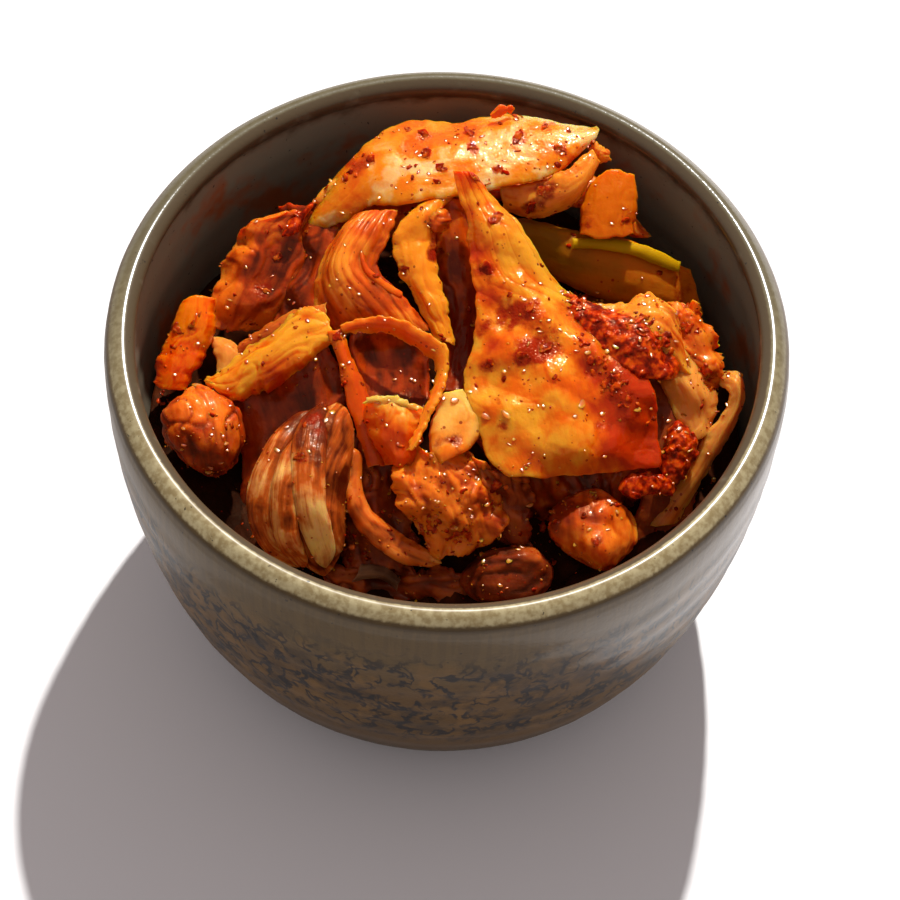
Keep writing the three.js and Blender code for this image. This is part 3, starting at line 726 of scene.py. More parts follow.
# what oil and brine share
DROP = {"patch": 3.0, "roughness": 0.24, "film": 1.0, "gloss": 0.22, "skin": 0.0}
CHILLIES = (
    RedChilli("chilli_paste", (112, 11, 1), (176, 36, 2), (222, 84, 8), patch=1.3, film=0.12),
    RedChilli("chilli_flake", (122, 20, 2), (160, 38, 4), (206, 84, 14), patch=1.3, film=0.15, mirror=0.15),
    RedChilli("chilli_grit", (160, 32, 3), (214, 80, 8), (248, 146, 40), patch=0.9),
    RedChilli("oil_drop", (184, 56, 4), (222, 92, 8), (246, 134, 24), **DROP),
    RedChilli("brine_bead", (214, 92, 4), (238, 122, 12), (252, 154, 34), **DROP),
)


# ---- pieces of vegetable
class Section(Enum):
    """How a piece is cut across."""

    SHEET = "a slab or leaf with an upper and a lower face"
    ROUND = "an oval"


DROP_FROM = np.array([0.0, -289.6, 479.9])  # where toppings fall from, well in front and above
DROP_LEVEL = 60.0  # height at which a drop line's x and y are given


def off_drop_line(points: Array, x: float, y: float) -> Array:
    """Distance of points from the line on which a topping falls through a place at DROP_LEVEL."""
    way = np.array([x, y, DROP_LEVEL]) - DROP_FROM
    return np.linalg.norm(np.cross(points - DROP_FROM, way / np.linalg.norm(way)), axis=1)


Height = float | tuple[float, ...]


@dataclass(frozen=True)
class Relief:
    """The unevenness of a piece, in millimetres.

    A kind is given by its height alone, or by its height and the numbers that follow it. The ones
    left out are the usual ones, which are the defaults here.
    """

    wave: Height = (0.5, 7.0)  # slow bends of the whole sheet: height, gap
    wrinkle: Height = (0.16, 1.3, 7.0)  # fine wrinkles: height, gap across the grain, gap along it
    lump: Height = (0.12, 1.6)  # round unevenness: height, gap
    ribs: Height = (0.0, 0.0, 0.35)  # folds along the grain: height, how many, how far they drift
    crease: Height = (0.0, 1.2, 3.0)  # puckers between sharp creases: height, gap across, gap along
    frill: Height = (0.0, 3.0)  # ruffle of the two edges: height, gap
    ragged: Height = (0.35, 1.4)  # torn outline: depth, gap
    end_bow: float = 0.0  # how far the middle of each end stands out

    def full(self, kind: str) -> tuple[float, ...]:
        """All the numbers of one kind of relief."""
        given, usual = getattr(self, kind), getattr(Relief, kind)
        given = given if isinstance(given, tuple) else (given,)
        return given + usual[len(given):]


@dataclass(frozen=True)
class Apron:
    """The thick cut side of a slab on its left edge: how far it reaches out and down."""

    out: float
    down: float
    shares: Triple  # of that reach at the start, the middle and the end
    tone: float = -0.4  # added to the pale channel there
    bulge: float = 0.6


@dataclass
class Piece:
    """One piece of vegetable, drawn from station to station.

    A station is the middle of the upper face (x, y, z), half of the width there as a vector, and
    how far the middle rises over the two edges.
    """

    name: str
    finish: str
    stations: list[tuple[float, float, float, float, float, float, float]]
    thick: float
    edge: float = 0.5  # the edges' thickness as a share of that
    section: Section = Section.SHEET
    relief: Relief = Relief()
    apron: Apron | None = None
    pale: tuple[float, float] = (0.5, 0.5)  # tone at the first and the last station
    # the two edges are made paler: partly their own lighter tone, partly a painted highlight on the thin
    # edges
    edge_pale: float = 0.0  # added along the two edges
    left_pale: float = 0.0  # added more and more towards the left edge
    # ridges and puckers made lighter, grooves and creases darker: painted highlight and painted shade
    rib_pale: float = 0.15  # added on ridges, taken off in grooves
    crease_pale: float = 0.8  # the same between creases
    stain: float = 0.0
    chips: float = 0.4
    pales: Sequence[Spot] = ()  # lighter places, or deeper ones where the amount is negative
    stains: Sequence[Spot] = ()  # places soaked with chilli
    chip_spots: Sequence[Spot] = ()  # places with more flakes
    seed: int = 1
    stride: float = STRIDE
    slot: str = ""  # its material slot, where that isn't its finish's own

    def _rows(self) -> tuple[Array, Array]:
        """The stations at even steps along the piece, and how far along each one is."""
        table = np.array(self.stations, float)
        last = len(table) - 1
        share = np.linspace(0, last, 60 * last + 1)
        index = np.minimum(share.astype(int), last - 1)
        s = (share - index)[:, None]
        a, b = table[np.maximum(index - 1, 0)], table[index]
        c, d = table[index + 1], table[np.minimum(index + 2, last)]
        slope_in, slope_out = (c - a) / 2, (d - b) / 2
        rows = (2 * s**3 - 3 * s**2 + 1) * b + (s**3 - 2 * s**2 + s) * slope_in
        rows += (3 * s**2 - 2 * s**3) * c + (s**3 - s**2) * slope_out
        run = np.concatenate([[0], np.cumsum(np.linalg.norm(np.diff(rows[:, :3], axis=0), axis=1))])
        count = max(10, int(math.ceil(run[-1] / self.stride)) + 1)
        steps = np.linspace(0, run[-1], count)
        return np.stack([np.interp(steps, run, rows[:, k]) for k in range(7)], axis=1), steps

    def _ring(self, width: Array, rise: Array, thin: Array) -> tuple[Array, Array, Array]:
        """The closed section of every row.

        Args:
            width: Half width of each row.
            rise: Rise of the middle of each row.
            thin: Share of the full thickness in each row.

        Returns:
            Distance across and height of each point, and its place across from -1 to 1.
        """
        if self.section is Section.ROUND:
            girth = math.pi * (float(width.max()) + self.thick / 2)
            half = max(8, int(girth / self.stride / 2))
            angle = np.linspace(0, 2 * math.pi, 2 * half, endpoint=False)[None, :]
            across = -width[:, None] * np.cos(angle)
            up = np.maximum(np.abs(rise), 0.3)[:, None]
            height = np.sin(angle) * np.where(np.sin(angle) > 0, up, self.thick * thin[:, None])
            return across, height, np.broadcast_to(-np.cos(angle), across.shape)
        count = max(5, int(2 * float(width.max()) / self.stride) | 1)
        side = self.thick * self.edge * thin[:, None]
        bulge = np.minimum(0.5 * side, 0.35 * width[:, None])
        inner = width[:, None] - bulge
        out, down, swell = 0.0, 0.0, bulge
        steps = 1
        if self.apron:
            share = np.interp(np.linspace(0, 1, len(width)), [0, 0.5, 1], self.apron.shares)
            share = share[:, None] * thin[:, None]
            out, down, swell = self.apron.out * share, self.apron.down * share, self.apron.bulge * share
            steps = max(2, int((self.apron.out + self.apron.down + self.thick * self.edge) / self.stride / 2))
        turn = np.linspace(math.pi / 2, -math.pi / 2, 2 * steps + 3)[1:-1][None, :]
        depth_share = (1 - np.sin(turn)) / 2
        left_a = -(inner + out * depth_share + swell * np.cos(turn))
        left_h = -(side + down) * depth_share
        right_a = inner + bulge * np.cos(turn)
        right_h = -side * depth_share
        v = np.linspace(-1, 1, count)[None, :] + 0 * side
        crown = 1 - v * v
        top_h = rise[:, None] * crown
        depth = self.thick * (self.edge + (1 - self.edge) * crown) * thin[:, None]
        skew = np.clip(-v, 0, 1) ** 2
        below_a = (v * inner - out * skew)[:, ::-1]
        below_h = (top_h - depth - down * skew)[:, ::-1]
        up = slice(steps, None, -1)
        across = [left_a[:, up], v * inner, right_a, below_a, left_a[:, :steps:-1]]
        height = [left_h[:, up], top_h, right_h, below_h, left_h[:, :steps:-1]]
        one = np.ones_like(left_a)
        place = [-one[:, up], v, one, v[:, ::-1], -one[:, :steps:-1]]
        return np.hstack(across), np.hstack(height), np.hstack(place)

    def _numbers(self, points: Array, u: Array, v: Array, maps: Sequence[Array]) -> dict[str, Array]:
        """The tone, with painted highlight on ridges and edges and painted shade in grooves and creases, the
        stain and the share of chilli chips at each vertex.

        Args:
            points: The vertices.
            u: How far along the piece each one is, from 0 to 1.
            v: How far across it, from -1 to 1.
            maps: Ridges, puckers, how well each one is seen from the front, and the cut side.

        Returns:
            The three attributes by name.
        """
        ridge, pucker, seen, skirt = maps
        noise = Unevenness(self.seed + 50)
        first, last = self.pale
        # the paler edges are partly painted highlight; the lighter ridges and darker grooves are painted
        # shading
        tone = first + (last - first) * u + self.edge_pale * np.abs(v) ** 3 + self.rib_pale * ridge
        values = {"pale": tone, "stain": self.stain + 0 * u, "chips": self.chips + 0 * u}
        for key, spots in (("pale", self.pales), ("stain", self.stains), ("chips", self.chip_spots)):
            for x, y, reach, amount in spots:
                away = off_drop_line(points, x, y) / reach
                values[key] += amount * np.exp(-(away**2))
        # the puckers between creases are lighter and the creases darker: painted shade
        values["pale"] += self.crease_pale * pucker + self.left_pale * np.clip(-v, 0, 1) ** 1.4
        if self.apron:
            values["pale"] += self.apron.tone * skirt
        clump = smoothstep(-0.1, 0.6, noise.layered(*(points.T / 4.0)))
        values["chips"] = np.clip(values["chips"], 0, 3) * (0.15 + 0.85 * clump) * seen
        return values

    def _slow_relief(self, along: Array, across: Array, v: Array, full: Array) -> tuple[Array, Array]:
        """Slow bends, ribs and the ruffle of the edges.

        Args:
            along: Distance of each point along the piece.
            across: Its distance from the middle.
            v: The same as a share of the half width.
            full: How far each row has swelled from its end, from 0 to 1.

        Returns:
            How far each point is lifted off the face, and where the ridges are.
        """
        noise = Unevenness(self.seed)
        wave, wave_gap = self.relief.full("wave")
        lift = wave * noise.at(along / wave_gap, across / wave_gap, 3.0)
        ribs, rib_count, rib_drift = self.relief.full("ribs")
        ridge = np.zeros_like(across)
        if ribs:
            turns = rib_count / 2 * (v + rib_drift * noise.at(along / 9.0, 5.0))
            ridge = 2 * np.abs(np.cos(math.pi * turns)) ** 0.55 - 1
            lift = lift + ribs * ridge * full[:, None]
        frill, frill_gap = self.relief.full("frill")
        if frill:
            lift = lift + frill * np.abs(v) ** 3 * noise.at(along / frill_gap, np.sign(v) * 9.0, 11.0) * 1.6
        return lift, ridge

    def _fine_relief(
        self, along: Array, across: Array, height: Array, grid: Array
    ) -> tuple[Array, Array, Array]:
        """Wrinkles, lumps and the puckers between sharp creases.

        Args:
            along: Distance of each point along the piece.
            across: Its distance from the middle.
            height: Its height in the section.
            grid: The points.

        Returns:
            How far each point is pushed out of the skin, its wrinkle and its pucker.
        """
        noise = Unevenness(self.seed)
        wrinkle_high, wrinkle_gap, wrinkle_run = self.relief.full("wrinkle")
        wrinkle = noise.layered(along / wrinkle_run, across / wrinkle_gap, height / 4.0)
        lump_high, lump_size = self.relief.full("lump")
        lump = noise.layered(*(grid.reshape(-1, 3).T / lump_size)).reshape(across.shape)
        crease, gap, run = self.relief.full("crease")
        bent = noise.at(along / 4.0, across / 4.0, 21.0)
        pucker = np.abs(noise.at(along / run + bent, across / gap + bent, height / 4.0))
        finer = noise.at(2.1 * along / run + bent, 2.1 * across / gap + bent, height / 3.0 + 9.0)
        pucker = np.minimum(pucker + 0.5 * np.abs(finer), 0.7) - 0.35
        return wrinkle_high * wrinkle + lump_high * lump + crease * pucker, wrinkle, pucker

    def surface(self) -> Surface:
        """The piece as one closed surface."""
        noise = Unevenness(self.seed)
        relief = self.relief
        rows, steps = self._rows()
        middle, half, rise = rows[:, :3], rows[:, 3:6], rows[:, 6]
        width = np.linalg.norm(half, axis=1)
        along = np.gradient(middle, axis=0)
        along /= np.linalg.norm(along, axis=1, keepdims=True)
        face = np.cross(along, half)
        face /= np.linalg.norm(face, axis=1, keepdims=True)
        if (face @ UP_FRONT).sum() < 0:
            face = -face
        across_dir = half / width[:, None]
        from_end = np.minimum(steps, steps[-1] - steps)
        tip = min(max(self.thick * 0.6, 0.8), steps[-1] / 3)
        if self.section is Section.ROUND:
            tip = min(float(width.max()) * 0.8, steps[-1] / 2.2)
        full = np.sqrt(np.maximum(0.0, 1 - (1 - np.minimum(1, from_end / tip)) ** 2))
        thin = np.maximum(full, 0.12)
        if self.section is Section.ROUND:
            width = width * np.maximum(full, 0.1)
            rise = rise * thin
        across, height, v = self._ring(width, rise, thin)
        u_mm = np.broadcast_to(steps[:, None], across.shape)
        torn, torn_gap = relief.full("ragged")
        edge_left = noise.layered(steps / torn_gap, 7.0) * torn
        edge_right = noise.layered(steps / torn_gap, 31.0) * torn
        push = np.where(v < 0, -edge_left[:, None], edge_right[:, None]) * np.abs(v) ** 4
        if self.section is Section.SHEET:
            across = across + push
        lift, ridge = self._slow_relief(u_mm, across, v, full)
        bow = relief.end_bow * (1 - v**2) + torn * noise.layered(across / torn_gap, 3.0)
        near = np.exp(-from_end / 2.0) * np.where(steps < steps[-1] / 2, -1, 1)
        shift = bow * near[:, None]
        grid = middle[:, None] + across_dir[:, None] * across[..., None]
        grid += face[:, None] * (height + lift)[..., None]
        grid += along[:, None] * shift[..., None]
        d_along = np.gradient(grid, axis=0)
        d_round = np.roll(grid, -1, axis=1) - np.roll(grid, 1, axis=1)
        normal = np.cross(d_round, d_along)
        normal /= np.maximum(np.linalg.norm(normal, axis=2, keepdims=True), 1e-9)
        quarter = grid.shape[1] // 4
        if (normal[len(grid) // 2, quarter] @ face[len(grid) // 2]) < 0:
            normal = -normal
        out, wrinkle, pucker = self._fine_relief(u_mm, across, height, grid)
        grid = grid + normal * (out * full[:, None])[..., None]
        seen = smoothstep(-0.25, 0.25, normal @ UP_FRONT)
        skirt = smoothstep(0.0, 1.2, -across - width[:, None])
        creased = min(1.0, relief.full("crease")[0] * 3)
        maps = (ridge + wrinkle * 0.5, pucker * creased, seen, skirt)
        return self._close(grid, steps, across, v, maps)

    def _close(self, grid: Array, steps: Array, across: Array, v: Array, maps: Sequence[Array]) -> Surface:
        """Faces over the grid of rings, and a lid on both ends.

        Args:
            grid: The points, a ring for each step along the piece.
            steps: How far along the piece each ring is.
            across: How far each point is from the middle.
            v: The same as a share of the half width.
            maps: What the attributes are made from.

        Returns:
            The surface.
        """
        rows, ring = grid.shape[:2]
        half = ring // 2
        k = np.arange(1, half - 1)
        lid = np.stack([k, ring - k, ring - k - 1, k + 1], axis=-1)
        tips = np.array([[0, ring - 1, 1], [half, half - 1, half + 1]])
        far = (rows - 1) * ring
        quads = np.vstack([ring_quads(rows, ring), lid, lid[:, ::-1] + far])
        triangles = np.vstack([tips, tips[:, ::-1] + far])
        u = np.repeat(steps / steps[-1], ring)
        numbers = self._numbers(grid.reshape(-1, 3), u, v.ravel(), [m.ravel() for m in maps])
        uv = np.stack([np.repeat(steps, ring), across.ravel()], axis=1) / 10.0
        return Surface(grid.reshape(-1, 3), quads, triangles, uv, numbers).turned_out()


SCRAP_RELIEF = Relief(wave=(0.4, 2), crease=0.4, ragged=(0.6, 0.9))
REAR_RELIEF = Relief(wave=(1.2, 5), wrinkle=(0.25, 0.9), crease=(0.8, 2, 4), frill=1)
# the pieces, each with its finish, its stations and its thickness first
PIECES = [
    Piece("crown_stem", "crown_stem", [(-26.3, 25.6, 61, -0.4, 0.4, 0.4, 0.4),
        (-22.6, 27.2, 63.8, -1.4, 2.1, 0.4, 0.7), (-18.6, 30.1, 67, -1.4, 4, 0.3, 1),
        (-14.4, 32.6, 69.8, -1, 6.1, 0.3, 1), (-8.7, 34, 71.4, -0.8, 8.3, 0.1, 1.1),
        (-1.3, 34.9, 72.1, -0.5, 7.7, 0.1, 1.1), (7, 36.9, 72.4, -0.5, 7.5, 0.2, 1.1),
        (15.8, 38, 72.5, 0, 5.7, 0.3, 1), (22.2, 40.6, 72.4, 0.6, 1.9, 0.3, 0.5)], 3.2, 0.35,
        relief=Relief(wave=(0.35, 6), wrinkle=(0.08, 1.6), lump=(0.1, 1.2), crease=(0.12, 3, 9),
        ragged=(0.5, 2.2), end_bow=1.0), pale=(0.35, 0.6), left_pale=0.15, crease_pale=0.5, chips=0.8,
        seed=11, stride=0.25, pales=[(-18, 42, 4, -0.7), (0, 53.5, 3, -0.5), (20, 44, 3, -0.6),
        (-10, 49, 4, -0.45), (-3, 50, 3.5, -0.4), (-20, 36, 3, -0.3), (6, 53, 2.5, -0.3),
        (1, 49.5, 1.6, -0.4), (14, 47, 2.5, -0.4), *((x, y, 1.6, 0.5) for x, y in ((-15, 41.6), (-11, 42.9),
        (-8, 42.5), (-5, 42.7), (-2, 44), (1, 45.8), (4, 47.1), (7, 48.8), (10, 51), (10.5, 45.3),
        (15.1, 54.1), (19.9, 51.7)))], stains=[(-19.5, 42.7, 1.8, 0.55), (-17, 40.5, 1.8, 0.5),
        (-15, 43, 1.6, 0.55), (-8.9, 50.1, 0.9, 0.6), (-6, 49, 1.5, 0.6), (-5.7, 44.8, 1.6, 0.5),
        (-2.6, 42, 1.1, 0.6), (2.2, 50.3, 1.5, 0.5), (2.4, 46.7, 1.1, 0.6), (10.5, 49.3, 2.2, 0.6),
        (3.2, 45.4, 1.3, 0.4), (15, 52.3, 1.7, 0.5), (17.6, 47.3, 1.6, 0.6), (18.6, 54.8, 1.2, 0.6),
        (7.2, 42.6, 1.4, 0.5), (20, 45, 1.2, 0.5)], chip_spots=[(6, 46, 14, 0.5)]),
    Piece("stem_spike", "orange_strip", [(5.1, 42.2, 74.4, -0.1, 0.3, 0.4, 0.1),
        (6.6, 43, 74.9, -0.2, 0.5, 0.8, 0.2), (9.1, 43.7, 74.5, 0.1, 0.2, 0.4, 0.1)], 0.8, 0.7,
        slot="cabbage_stem", relief=Relief(wave=(0.2, 2), ragged=(0.5, 0.8)), pale=(0.5, 0.4), chips=0.3,
        seed=46, stride=0.22),
    Piece("stem_end", "amber_leaf", [(21.7, 38.8, 70.9, 0.1, 0.6, 0.8, 0.2),
        (23.5, 38.3, 70.6, 0.1, 0.9, 1.3, 0.4), (25.8, 38.7, 70, 0.1, 0.6, 0.7, 0.2)], 1.6, 0.6,
        slot="cabbage_stem", relief=SCRAP_RELIEF, pale=(0.5, 0.7), chips=1.0, seed=47, stride=0.22),
    Piece("mid_scrap", "amber_leaf", [(-5.4, 23, 70.9, 0.1, 1.5, 0.5, 0.3),
        (-2.7, 23, 70.3, 0.1, 1.8, 0.9, 0.5), (-0.6, 23.7, 69.6, -0.1, 1.2, 0.6, 0.3)], 1.6, 0.6,
        relief=SCRAP_RELIEF, pale=(0.4, 0.3), stain=0.2, chips=1.0, seed=48, stride=0.24),
    Piece("front_leaf", "golden_leaf", [(1.3, 28.9, 75.5, 1.7, -0.1, 0, 0.4),
        (4.2, 24.7, 73.4, 3.2, 0.4, -0.2, 0.9), (6.4, 21.2, 71.8, 4.3, 0.4, -0.2, 1.1),
        (8, 17.4, 70.2, 5.4, 0.4, -0.2, 1.4), (10.5, 13.2, 67.9, 7, 0.6, -0.3, 1.7),
        (12.9, 10.2, 66.5, 8.6, 0.5, -0.3, 2), (16.3, 3.5, 64.2, 12.1, 0.8, 0.3, 2.5),
        (18.1, -3.1, 62, 15.3, 1, 0, 3), (20.3, -9.4, 59.2, 14.7, 2, -0.8, 3),
        (21.3, -13.1, 57.4, 14.2, 2.1, -1.1, 2.6), (23.2, -15.8, 55.4, 12.4, 2.5, -1.1, 1.6)], 1.6,
        relief=Relief(wave=(1.1, 5.5), wrinkle=(0.07, 1.4, 9), lump=0.14, ribs=(0.1, 3.4, 0.7),
        crease=(0.2, 3.4, 8), frill=(0.5, 4.5), ragged=(0.45, 2.4)), pale=(0.55, 0.6), rib_pale=0.12,
        crease_pale=0.5, chips=0.5, seed=12, stride=0.25, pales=[(2.6, 40.8, 2.2, -0.5),
        (12.8, 26.7, 4.5, 0.7), (18.2, 17.6, 4.5, 0.4), (5, 16, 3.5, -0.5), (3, 25, 3, -0.5),
        (2.5, 33, 2, -0.3), (12, -9, 3, 0.3), (18.7, -12, 2.5, 0.3), (23.3, -11, 2, 0.3),
        (31.8, -7.7, 6.5, -1.0), (33, -1, 6.5, -0.9), (34, -13.3, 6, -0.9), (8, 5, 3, -0.2),
        (24, 4, 4, -0.5)], stains=[(7.1, 31.8, 1.9, 0.55), (2.6, 40.8, 1.1, 0.5), (5.6, 20.7, 2.6, 0.65),
        (13.2, 13.7, 2.3, 0.7), (9.6, 11.5, 3, 0.6), (16.3, 6.2, 3.4, 0.7), (12.4, 3.5, 2.3, 0.65),
        (6.9, 1.5, 2, 0.6), (5.5, 8.5, 2, 0.4), (8.8, -5.5, 1, 0.5), (9.3, -10.5, 1.5, 0.5),
        (27.7, -1, 4, 0.4), (25.3, -10, 3, 0.35), (31, -7, 5, 0.25), (21, 15, 3, 0.4)],
        chip_spots=[(20.7, 15.7, 4, 3), (16, 6, 6, 1.2), (27, 3, 7, 2.5), (14, -16.6, 4, 1.5)]),
    Piece("under_leaf", "amber_leaf", [(7.8, 29.3, 68, -0.6, 1, 2, 0.6),
        (12.3, 28.8, 68.3, -0.5, 1.4, 2.8, 0.9), (16.3, 29.9, 68.9, -0.6, 1.6, 2.9, 1),
        (19.3, 31.6, 69.9, -1, 1.3, 2.6, 0.9), (21.8, 34.5, 71.4, -0.9, 0.8, 1.6, 0.6),
        (23.2, 36.5, 72.3, -0.6, 0.6, 0.7, 0.3)], 3, 0.6, relief=Relief(wave=0.5, wrinkle=(0.1, 1),
        crease=(0.22, 2.4, 6)), pale=(0.8, 0.95), chips=0.8, seed=13, pales=[(22, 40, 4, 0.3)],
        stains=[(15.2, 38.4, 2.2, 0.6), (12.9, 34.3, 2.4, 0.55), (20.9, 31.9, 3, 0.5)]),
    Piece("radish_block", "white_radish", [(26.5, 34.2, 70.4, 3, 0.3, -0.2, 0.5),
        (26.1, 32, 69.5, 4.4, 0.3, -0.1, 0.6), (25.9, 29.9, 68.5, 4.7, 0.3, -0.1, 0.6),
        (25.4, 25, 66.3, 4.5, 0.3, 0, 0.5)], 3.6, 0.8, relief=Relief(wave=0.4, wrinkle=0.08, lump=0.14,
        crease=(0.15, 2.4), ragged=0.4, end_bow=0.9), pale=(1.1, 0.8), chips=0.3, seed=14,
        pales=[(26, 38, 3, 0.4), (31, 34, 2, -0.4)], stains=[(28.9, 32.7, 1.3, 0.5), (21, 32, 3, 0.5)]),
    Piece("green_slice", "green_radish", [(9, 26.5, 60.8, 0, 1.6, 3, 0),
        (18.5, 23.5, 60.5, 0.4, 2.7, 3.7, 0.5), (27, 22, 59.8, 0.3, 4, 3.8, 0.6),
        (34, 21.5, 58.8, -0.3, 4.2, 3.2, 0.5), (41.5, 21.5, 56, -1.3, 2.9, 2.5, 0)], 5, 1,
        relief=Relief(wave=0.25, wrinkle=0.04, lump=0.05, ragged=0.2), pale=(0.0, 0.9), chips=0.3, seed=15,
        pales=[(15, 27, 6, -0.3)], stains=[(38, 19, 4, 0.4), (30, 19, 2, 0.3)],
        chip_spots=[(38, 20, 5, 2)]),
    Piece("radish_rind", "radish_rind", [(19.9, 24.4, 63.9, 0, 0.7, 0.5, 0.15),
        (24.4, 24.5, 64.2, -0.1, 0.9, 0.5, 0.2), (29.7, 24.4, 63.6, 0.1, 1, 0.5, 0.2),
        (34.6, 23.7, 62.1, 0.2, 1.1, 0.6, 0.2), (38.2, 23.2, 60.5, 0.1, 0.8, 0.4, 0.15)], 1.4, 0.8,
        relief=Relief(wave=0.1, wrinkle=0.03, lump=0.04, ragged=0.12), pale=(0.7, 0.5), chips=0.1, seed=42),
    Piece("right_fold", "amber_leaf", [(20, 9, 65, -0.2, 3.6, 0.5, 0.5),
        (26, 6.2, 65.5, -0.1, 4.2, 0.7, 0.8), (33, 7, 66.6, -0.2, 5, 1.8, 1),
        (37.5, 5, 64.2, -0.2, 3.4, 1.8, 0.8), (40, 2.4, 61.3, -0.6, 1.9, 1.5, 0.4)], 2.6,
        relief=Relief(wave=(0.8, 4.5), wrinkle=(0.14, 1.2), lump=0.15, crease=(0.4, 2.4, 4), frill=0.7,
        ragged=0.6), pale=(0.6, 0.65), stain=0.1, chips=2.0, seed=16,
        apron=Apron(1.5, 2.0, (0.6, 1, 0.6), tone=-0.5), edge_pale=0.4, pales=[(33, 14, 3, 0.6)],
        stains=[(26.7, 8.9, 4, 0.4), (34, 6, 4, 0.35)]),
    Piece("right_leaf", "amber_leaf", [(38, 13, 64.5, 2.2, 0.1, -0.1, 0.4),
        (40.5, 9, 63, 3.3, 0.6, -0.2, 0.8), (42.5, 5, 60.8, 2.8, 0.7, -0.2, 0.8),
        (45.2, 1.3, 57.5, 1.6, 0.4, 0.1, 0.3)], 2.4, relief=Relief(wave=(0.9, 3), wrinkle=0.15, lump=0.2,
        crease=(0.45, 2), frill=0.8, ragged=(1.2, 1)), pale=(0.55, 0.35), chips=2.0, seed=17,
        stains=[(43.3, 1.6, 2.4, 0.5), (40, 10.9, 2, 0.4)]),
    Piece("right_stem", "tan_stem", [(37.4, 6, 61.5, 2.2, 0.4, 0.5, 0.5),
        (39.3, 1.4, 59.7, 3.8, 1.1, 0, 1.6), (41.4, -2, 56.8, 4, 1.3, 0, 1.6),
        (42, -6.5, 53.4, 2.2, 1.2, 0.1, 0.5)], 4, 0.7, relief=Relief(wave=(0.6, 4), wrinkle=(0.14, 0.9),
        ribs=(0.08, 2), crease=(0.25, 2.2, 6)), pale=(1.2, 0.95), chips=0.8, seed=18,
        pales=[(40, 1, 2.5, 0.3), (45.5, -3, 1.6, -0.8)], stains=[(36, 2, 3, 0.4)]),
    Piece("right_strip", "tan_stem", [(45, 3, 58, 0.4, 1.2, 0.5, 0.3),
        (47.5, 1, 59.4, 0.9, 1.6, 0.6, 0.5), (47.7, -2, 56.8, 1.5, 0.7, 0.2, 0.6),
        (44.8, -6.2, 52.8, 2.2, 0.6, -0.2, 0.8), (42.4, -10.2, 49.2, 2.1, 0.8, -0.2, 0.8),
        (37.3, -17.3, 43.5, 2.3, 0.4, 0, 0.8)], 1.8, 0.6, slot="cabbage_leaf", relief=Relief(wave=0.3,
        wrinkle=(0.14, 0.8), ribs=(0.06, 2), ragged=0.3), pale=(0.95, 0.6), chips=0.9, seed=19,
        stains=[(46, -1, 2, 0.4)]),
    # the deep spot on its left side is painted shade on the side turned away from the lamp
    Piece("right_knob", "amber_leaf", [(25, -16.5, 52, 4.6, 0.3, 0, 2),
        (25, -20, 49.2, 6.9, 0.4, -0.2, 4.5), (26, -23.5, 46.2, 6.7, 0.6, -0.2, 4.5),
        (27.5, -26.3, 43, 3.4, 0.9, 0, 2.5)], 7, slot="cabbage_stem", section=Section.ROUND,
        relief=Relief(wave=(1.6, 5), wrinkle=(0.08, 1.4), lump=(0.3, 3), crease=(0.5, 3.4, 6)),
        pale=(0.45, 0.3), chips=1.0, seed=20, pales=[(18.5, -25, 3.5, -0.9), (28, -29, 3, 0.3)],
        stains=[(25.1, -31.3, 1.4, 0.6), (17, -28, 2.5, 0.4), (27, -22, 3, 0.35)],
        chip_spots=[(25, -22, 5, 2)]),
    Piece("dark_knob", "dark_leaf", [(4, -29, 41.2, -0.1, 1.8, 1.2, 2),
        (8.3, -28, 41.5, -0.2, 3.4, 2.5, 4), (14, -27.5, 42.2, -0.2, 3.8, 2.8, 4.5),
        (19.3, -26.8, 42.3, -0.4, 2, 2.2, 2.5)], 7, section=Section.ROUND, relief=Relief(wave=(1.8, 4.4),
        wrinkle=(0.1, 1.2), lump=(0.4, 3), crease=(0.4, 3.4, 6)), pale=(0.1, 0.25), chips=0.8, seed=21,
        pales=[(15.5, -33.6, 2.5, 0.5)]),
    Piece("loop_band", "orange_strip", [(-17.3, 3.7, 64.5, -0.5, 0.4, 0.5, 0.2),
        (-14, 5, 64.5, -0.3, 0.7, 1.1, 0.3), (-8.6, 4.5, 64.5, 0, 0.7, 1.5, 0.3),
        (-2.7, 1.8, 63.7, 0.8, 0.7, 1.5, 0.3), (-1.1, -1, 63.2, 1, 0.4, 1.2, 0.3),
        (-2.1, -7.3, 62.2, 1, -0.1, 0.6, 0.3), (-5.4, -15.8, 60, 0.5, -0.2, 0.2, 0.1)], 0.9, 0.8,
        relief=Relief(wave=(0.3, 3), wrinkle=(0.1, 0.6), lump=0.08, ragged=(0.45, 0.9)), pale=(0.4, 0.8),
        edge_pale=0.3, chips=0.6, seed=22, stride=0.24),
    Piece("loop_arm", "orange_strip", [(-18.4, 4, 64, 1.4, 0.5, 0, 0.4),
        (-17, 0.3, 62.3, 1.3, 0.3, 0, 0.5), (-14.8, -4.3, 60, 1.8, 0.3, 0, 0.5),
        (-12, -11.6, 56, 1.7, 0.2, 0, 0.4), (-10.6, -15.5, 54, 1.5, 0.2, 0, 0.4)], 1, 0.7,
        relief=Relief(wave=0.25, wrinkle=0.12, lump=0.08, ragged=0.3), pale=(0.45, 0.35), chips=1.5,
        seed=23, stride=0.26, stains=[(-18, 6, 3, 0.35)]),
    Piece("chunk_right", "pale_chunk", [(1, -5.6, 62, 1.8, 0.7, 0, 0.2),
        (1.8, -8.6, 61.5, 3.5, 0.7, 0, 0.4), (2.2, -11.7, 60.7, 4.4, 1.4, 0, 0.4),
        (1.6, -15.1, 59.5, 3.2, 0.8, 0, 0.3), (1, -16.6, 58.7, 1.1, 0.6, 0.2, 0.2)], 4, 0.9,
